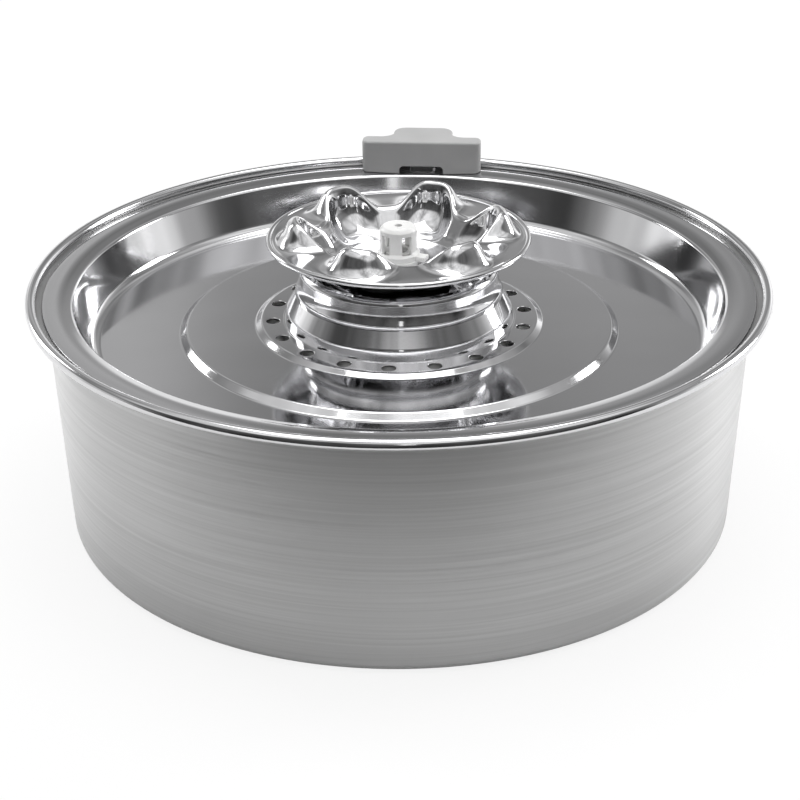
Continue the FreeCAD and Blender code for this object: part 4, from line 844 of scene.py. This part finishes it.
# %% Clip openings and rounded top
free_sides = [edge for edge in cover_bm.edges if edge.is_boundary
              and abs(edge.verts[0].co.z - edge.verts[1].co.z) > 4 * MM]
for edge in free_sides:
    side = math.copysign(1, edge.verts[0].co.x)
    made = bmesh.ops.extrude_edge_only(cover_bm, edges=[edge])["geom"]
    for vert in [g for g in made if isinstance(g, bmesh.types.BMVert)]:
        vert.co.x = side * (TONGUE_HALF - CLIP_WALL) * MM
flat_walls = [face for face in cover_bm.faces
              if face.calc_area() > 60 * MM * MM and abs(face.normal.y) > 0.99]
for face in flat_walls:
    centre = face.calc_center_median() / MM
    if centre.y > CLIP_END - 1:
        open_wall(cover_bm, face, HOOK_HALF, CLIP_PARTING, HOOK_TOP, HOOK_CORNER)
    elif centre.y < CLIP_FRONT + 1 and centre.z < CLIP_PARTING:
        foot = flange_height(CORD_HALF, CLIP_FRONT) + FLANGE_GAP
        open_wall(cover_bm, face, CORD_HALF, foot, CORD_TOP, CORD_CORNER)
bmesh.ops.recalc_face_normals(cover_bm, faces=cover_bm.faces)
face_up(cover_bm)
top_edges = [edge for edge in cover_bm.edges if all(v.co.z > (CLIP_TOP - 0.01) * MM for v in edge.verts)]
bmesh.ops.bevel(cover_bm, geom=top_edges, offset=TOP_ROUND * MM, offset_type="OFFSET", segments=4,
                profile=0.5, affect="EDGES", material=-1)
cover = place_piece(cover_bm, "clip_cover", "clip", grey_plastic, "clip_housing")
give_thickness(cover, CLIP_WALL, 0.15)

# %% [markdown]
# The nozzle is a small moulded cage: a base ring, a waist with five windows and a cap with a hole. It is
# turned like the pressings, and the windows are cut like the notch. The pull tab is a piece of its own,
# because a wall behind it would be hollow.

# %% Nozzle cage
NOZZLE_BOTTOM = 94.2
NOZZLE_TOP = 105.8
NOZZLE_WALL = 1.1
CAGE_LINE = [(5.3, NOZZLE_BOTTOM, 0), (7.5, NOZZLE_BOTTOM, 0.2), (7.5, 96.0, 0.3), (6.5, 97.1, 0.3),
             (6.5, 104.7, 0.5), (5.4, NOZZLE_TOP, 0.5), (1.4, NOZZLE_TOP, 0)]
WINDOWS = 5
WINDOW_PHASE = math.radians(-58.3)
WINDOW_HALF, WINDOW_LOW, WINDOW_HIGH = 1.8, 96.8, 103.4

cage_bm = bmesh.new()
draw_line(cage_bm, CAGE_LINE)
spin_all(cage_bm, steps=120)
windows = [cut_opening(cage_bm, WINDOW_PHASE + k * 2 * math.pi / WINDOWS, WINDOW_HALF,
                       WINDOW_LOW, WINDOW_HIGH, 3.0) for k in range(WINDOWS)]
print("window faces removed:", windows)
bmesh.ops.recalc_face_normals(cage_bm, faces=cage_bm.faces)
face_up(cage_bm)
cage = place_piece(cage_bm, "nozzle_cage", "nozzle", white_plastic, "nozzle")
give_thickness(cage, NOZZLE_WALL, 0.12)

# %% Pull tab
TAB_PHASE = math.radians(-20.3)
TAB_MIDDLE = Vector((8.6, 0, 95.1))
TAB_SIZE = Vector((4.2, 4.0, 1.8))

tab_bm = bmesh.new()
tab_place = (Matrix.Rotation(TAB_PHASE, 4, "Z") @ Matrix.Translation(TAB_MIDDLE * MM)
             @ Matrix.Diagonal((*(TAB_SIZE * MM), 1)))
bmesh.ops.create_cube(tab_bm, size=1, matrix=tab_place)
bmesh.ops.bevel(tab_bm, geom=tab_bm.edges[:], offset=0.35 * MM, offset_type="OFFSET", segments=3, profile=0.5,
                affect="EDGES", material=-1)
tab = place_piece(tab_bm, "nozzle_tab", "nozzle", white_plastic, "nozzle")
even_shading(tab)

# %% [markdown]
# The pump's foam and the filter's cotton are soft. Each starts as its own block or ring, its faces are
# crowned between the edges, and a little noise pushes the surface in and out as fibres and pores do.

# %% Softening
def fluff(bm, scale, depth):
    """Moves each point along its normal by smooth noise, in millimetres."""
    bm.normal_update()
    for vert in bm.verts:
        vert.co += vert.normal * smooth_noise.noise(vert.co / MM * scale) * depth * MM


# %% Foam block
FOAM_SIZE = Vector((40.2, 8.2, 36.5))
FOAM_MIDDLE = Vector((0, -18.3, 23.75))
FOAM_CROWN = 1.2

foam_bm = bmesh.new()
bmesh.ops.create_cube(foam_bm, size=1)
bmesh.ops.subdivide_edges(foam_bm, edges=foam_bm.edges[:], cuts=23, use_grid_fill=True)
for vert in foam_bm.verts:
    share = vert.co * 2
    crown = [(1 - abs(share[(k + 1) % 3]) ** 6) * (1 - abs(share[(k + 2) % 3]) ** 6) for k in range(3)]
    size = [FOAM_SIZE[k] - FOAM_CROWN + crown[k] for k in range(3)]
    vert.co = (FOAM_MIDDLE + Vector([vert.co[k] * size[k] for k in range(3)])) * MM
fluff(foam_bm, 0.5, 0.1)
foam_piece = place_piece(foam_bm, "foam_block", "intake", foam, "intake_foam")

# %% Cotton ring
PAD_RADIUS, PAD_HEIGHT = 48.2, 60.5
PAD_HALF_WIDTH, PAD_HALF_DEPTH = 4.3, 1.9
PAD_SIDES = 40


def swollen(share, power):
    """A share from -1 to 1 pushed outwards, so that a circle becomes a plump rectangle."""
    return math.copysign(abs(share) ** power, share)


pad_bm = bmesh.new()
pad_verts = []
for k in range(PAD_SIDES):
    turn = 2 * math.pi * k / PAD_SIDES
    radius = PAD_RADIUS + PAD_HALF_WIDTH * swollen(math.cos(turn), 0.5)
    height = PAD_HEIGHT + PAD_HALF_DEPTH * swollen(math.sin(turn), 0.7)
    pad_verts.append(pad_bm.verts.new((radius * MM, 0, height * MM)))
for a, b in zip(pad_verts, pad_verts[1:] + pad_verts[:1]):
    pad_bm.edges.new((a, b))
spin_all(pad_bm)
bmesh.ops.recalc_face_normals(pad_bm, faces=pad_bm.faces)
fluff(pad_bm, 0.35, 0.15)
pad = place_piece(pad_bm, "cotton_ring", "filter", cotton, "cotton_pad")

# %% [markdown]
# The hidden solids are not drawn again: each gets the finish of its material.

# %% Finishes of the kept solids
FINISHES = {
    "polished_steel": tray_steel, "brushed_bowl": brushed, "grey_plastic": grey_plastic,
    "white_plastic": white_plastic, "pump_plastic": pump_plastic, "black_rubber": black_rubber,
    "silicone": silicone, "core_steel": core_steel, "copper_winding": winding, "ceramic": ceramic,
    "magnet": magnet, "foam": foam, "resin": resin, "carbon": carbon, "cotton": cotton,
}
for part in frame["record"]["subparts"]:
    node = frame["nodes"][part["node"]]
    node.data.materials.clear()
    node.data.materials.append(FINISHES[part["material_slot"]])
print("finished solids:", len(frame["nodes"]))
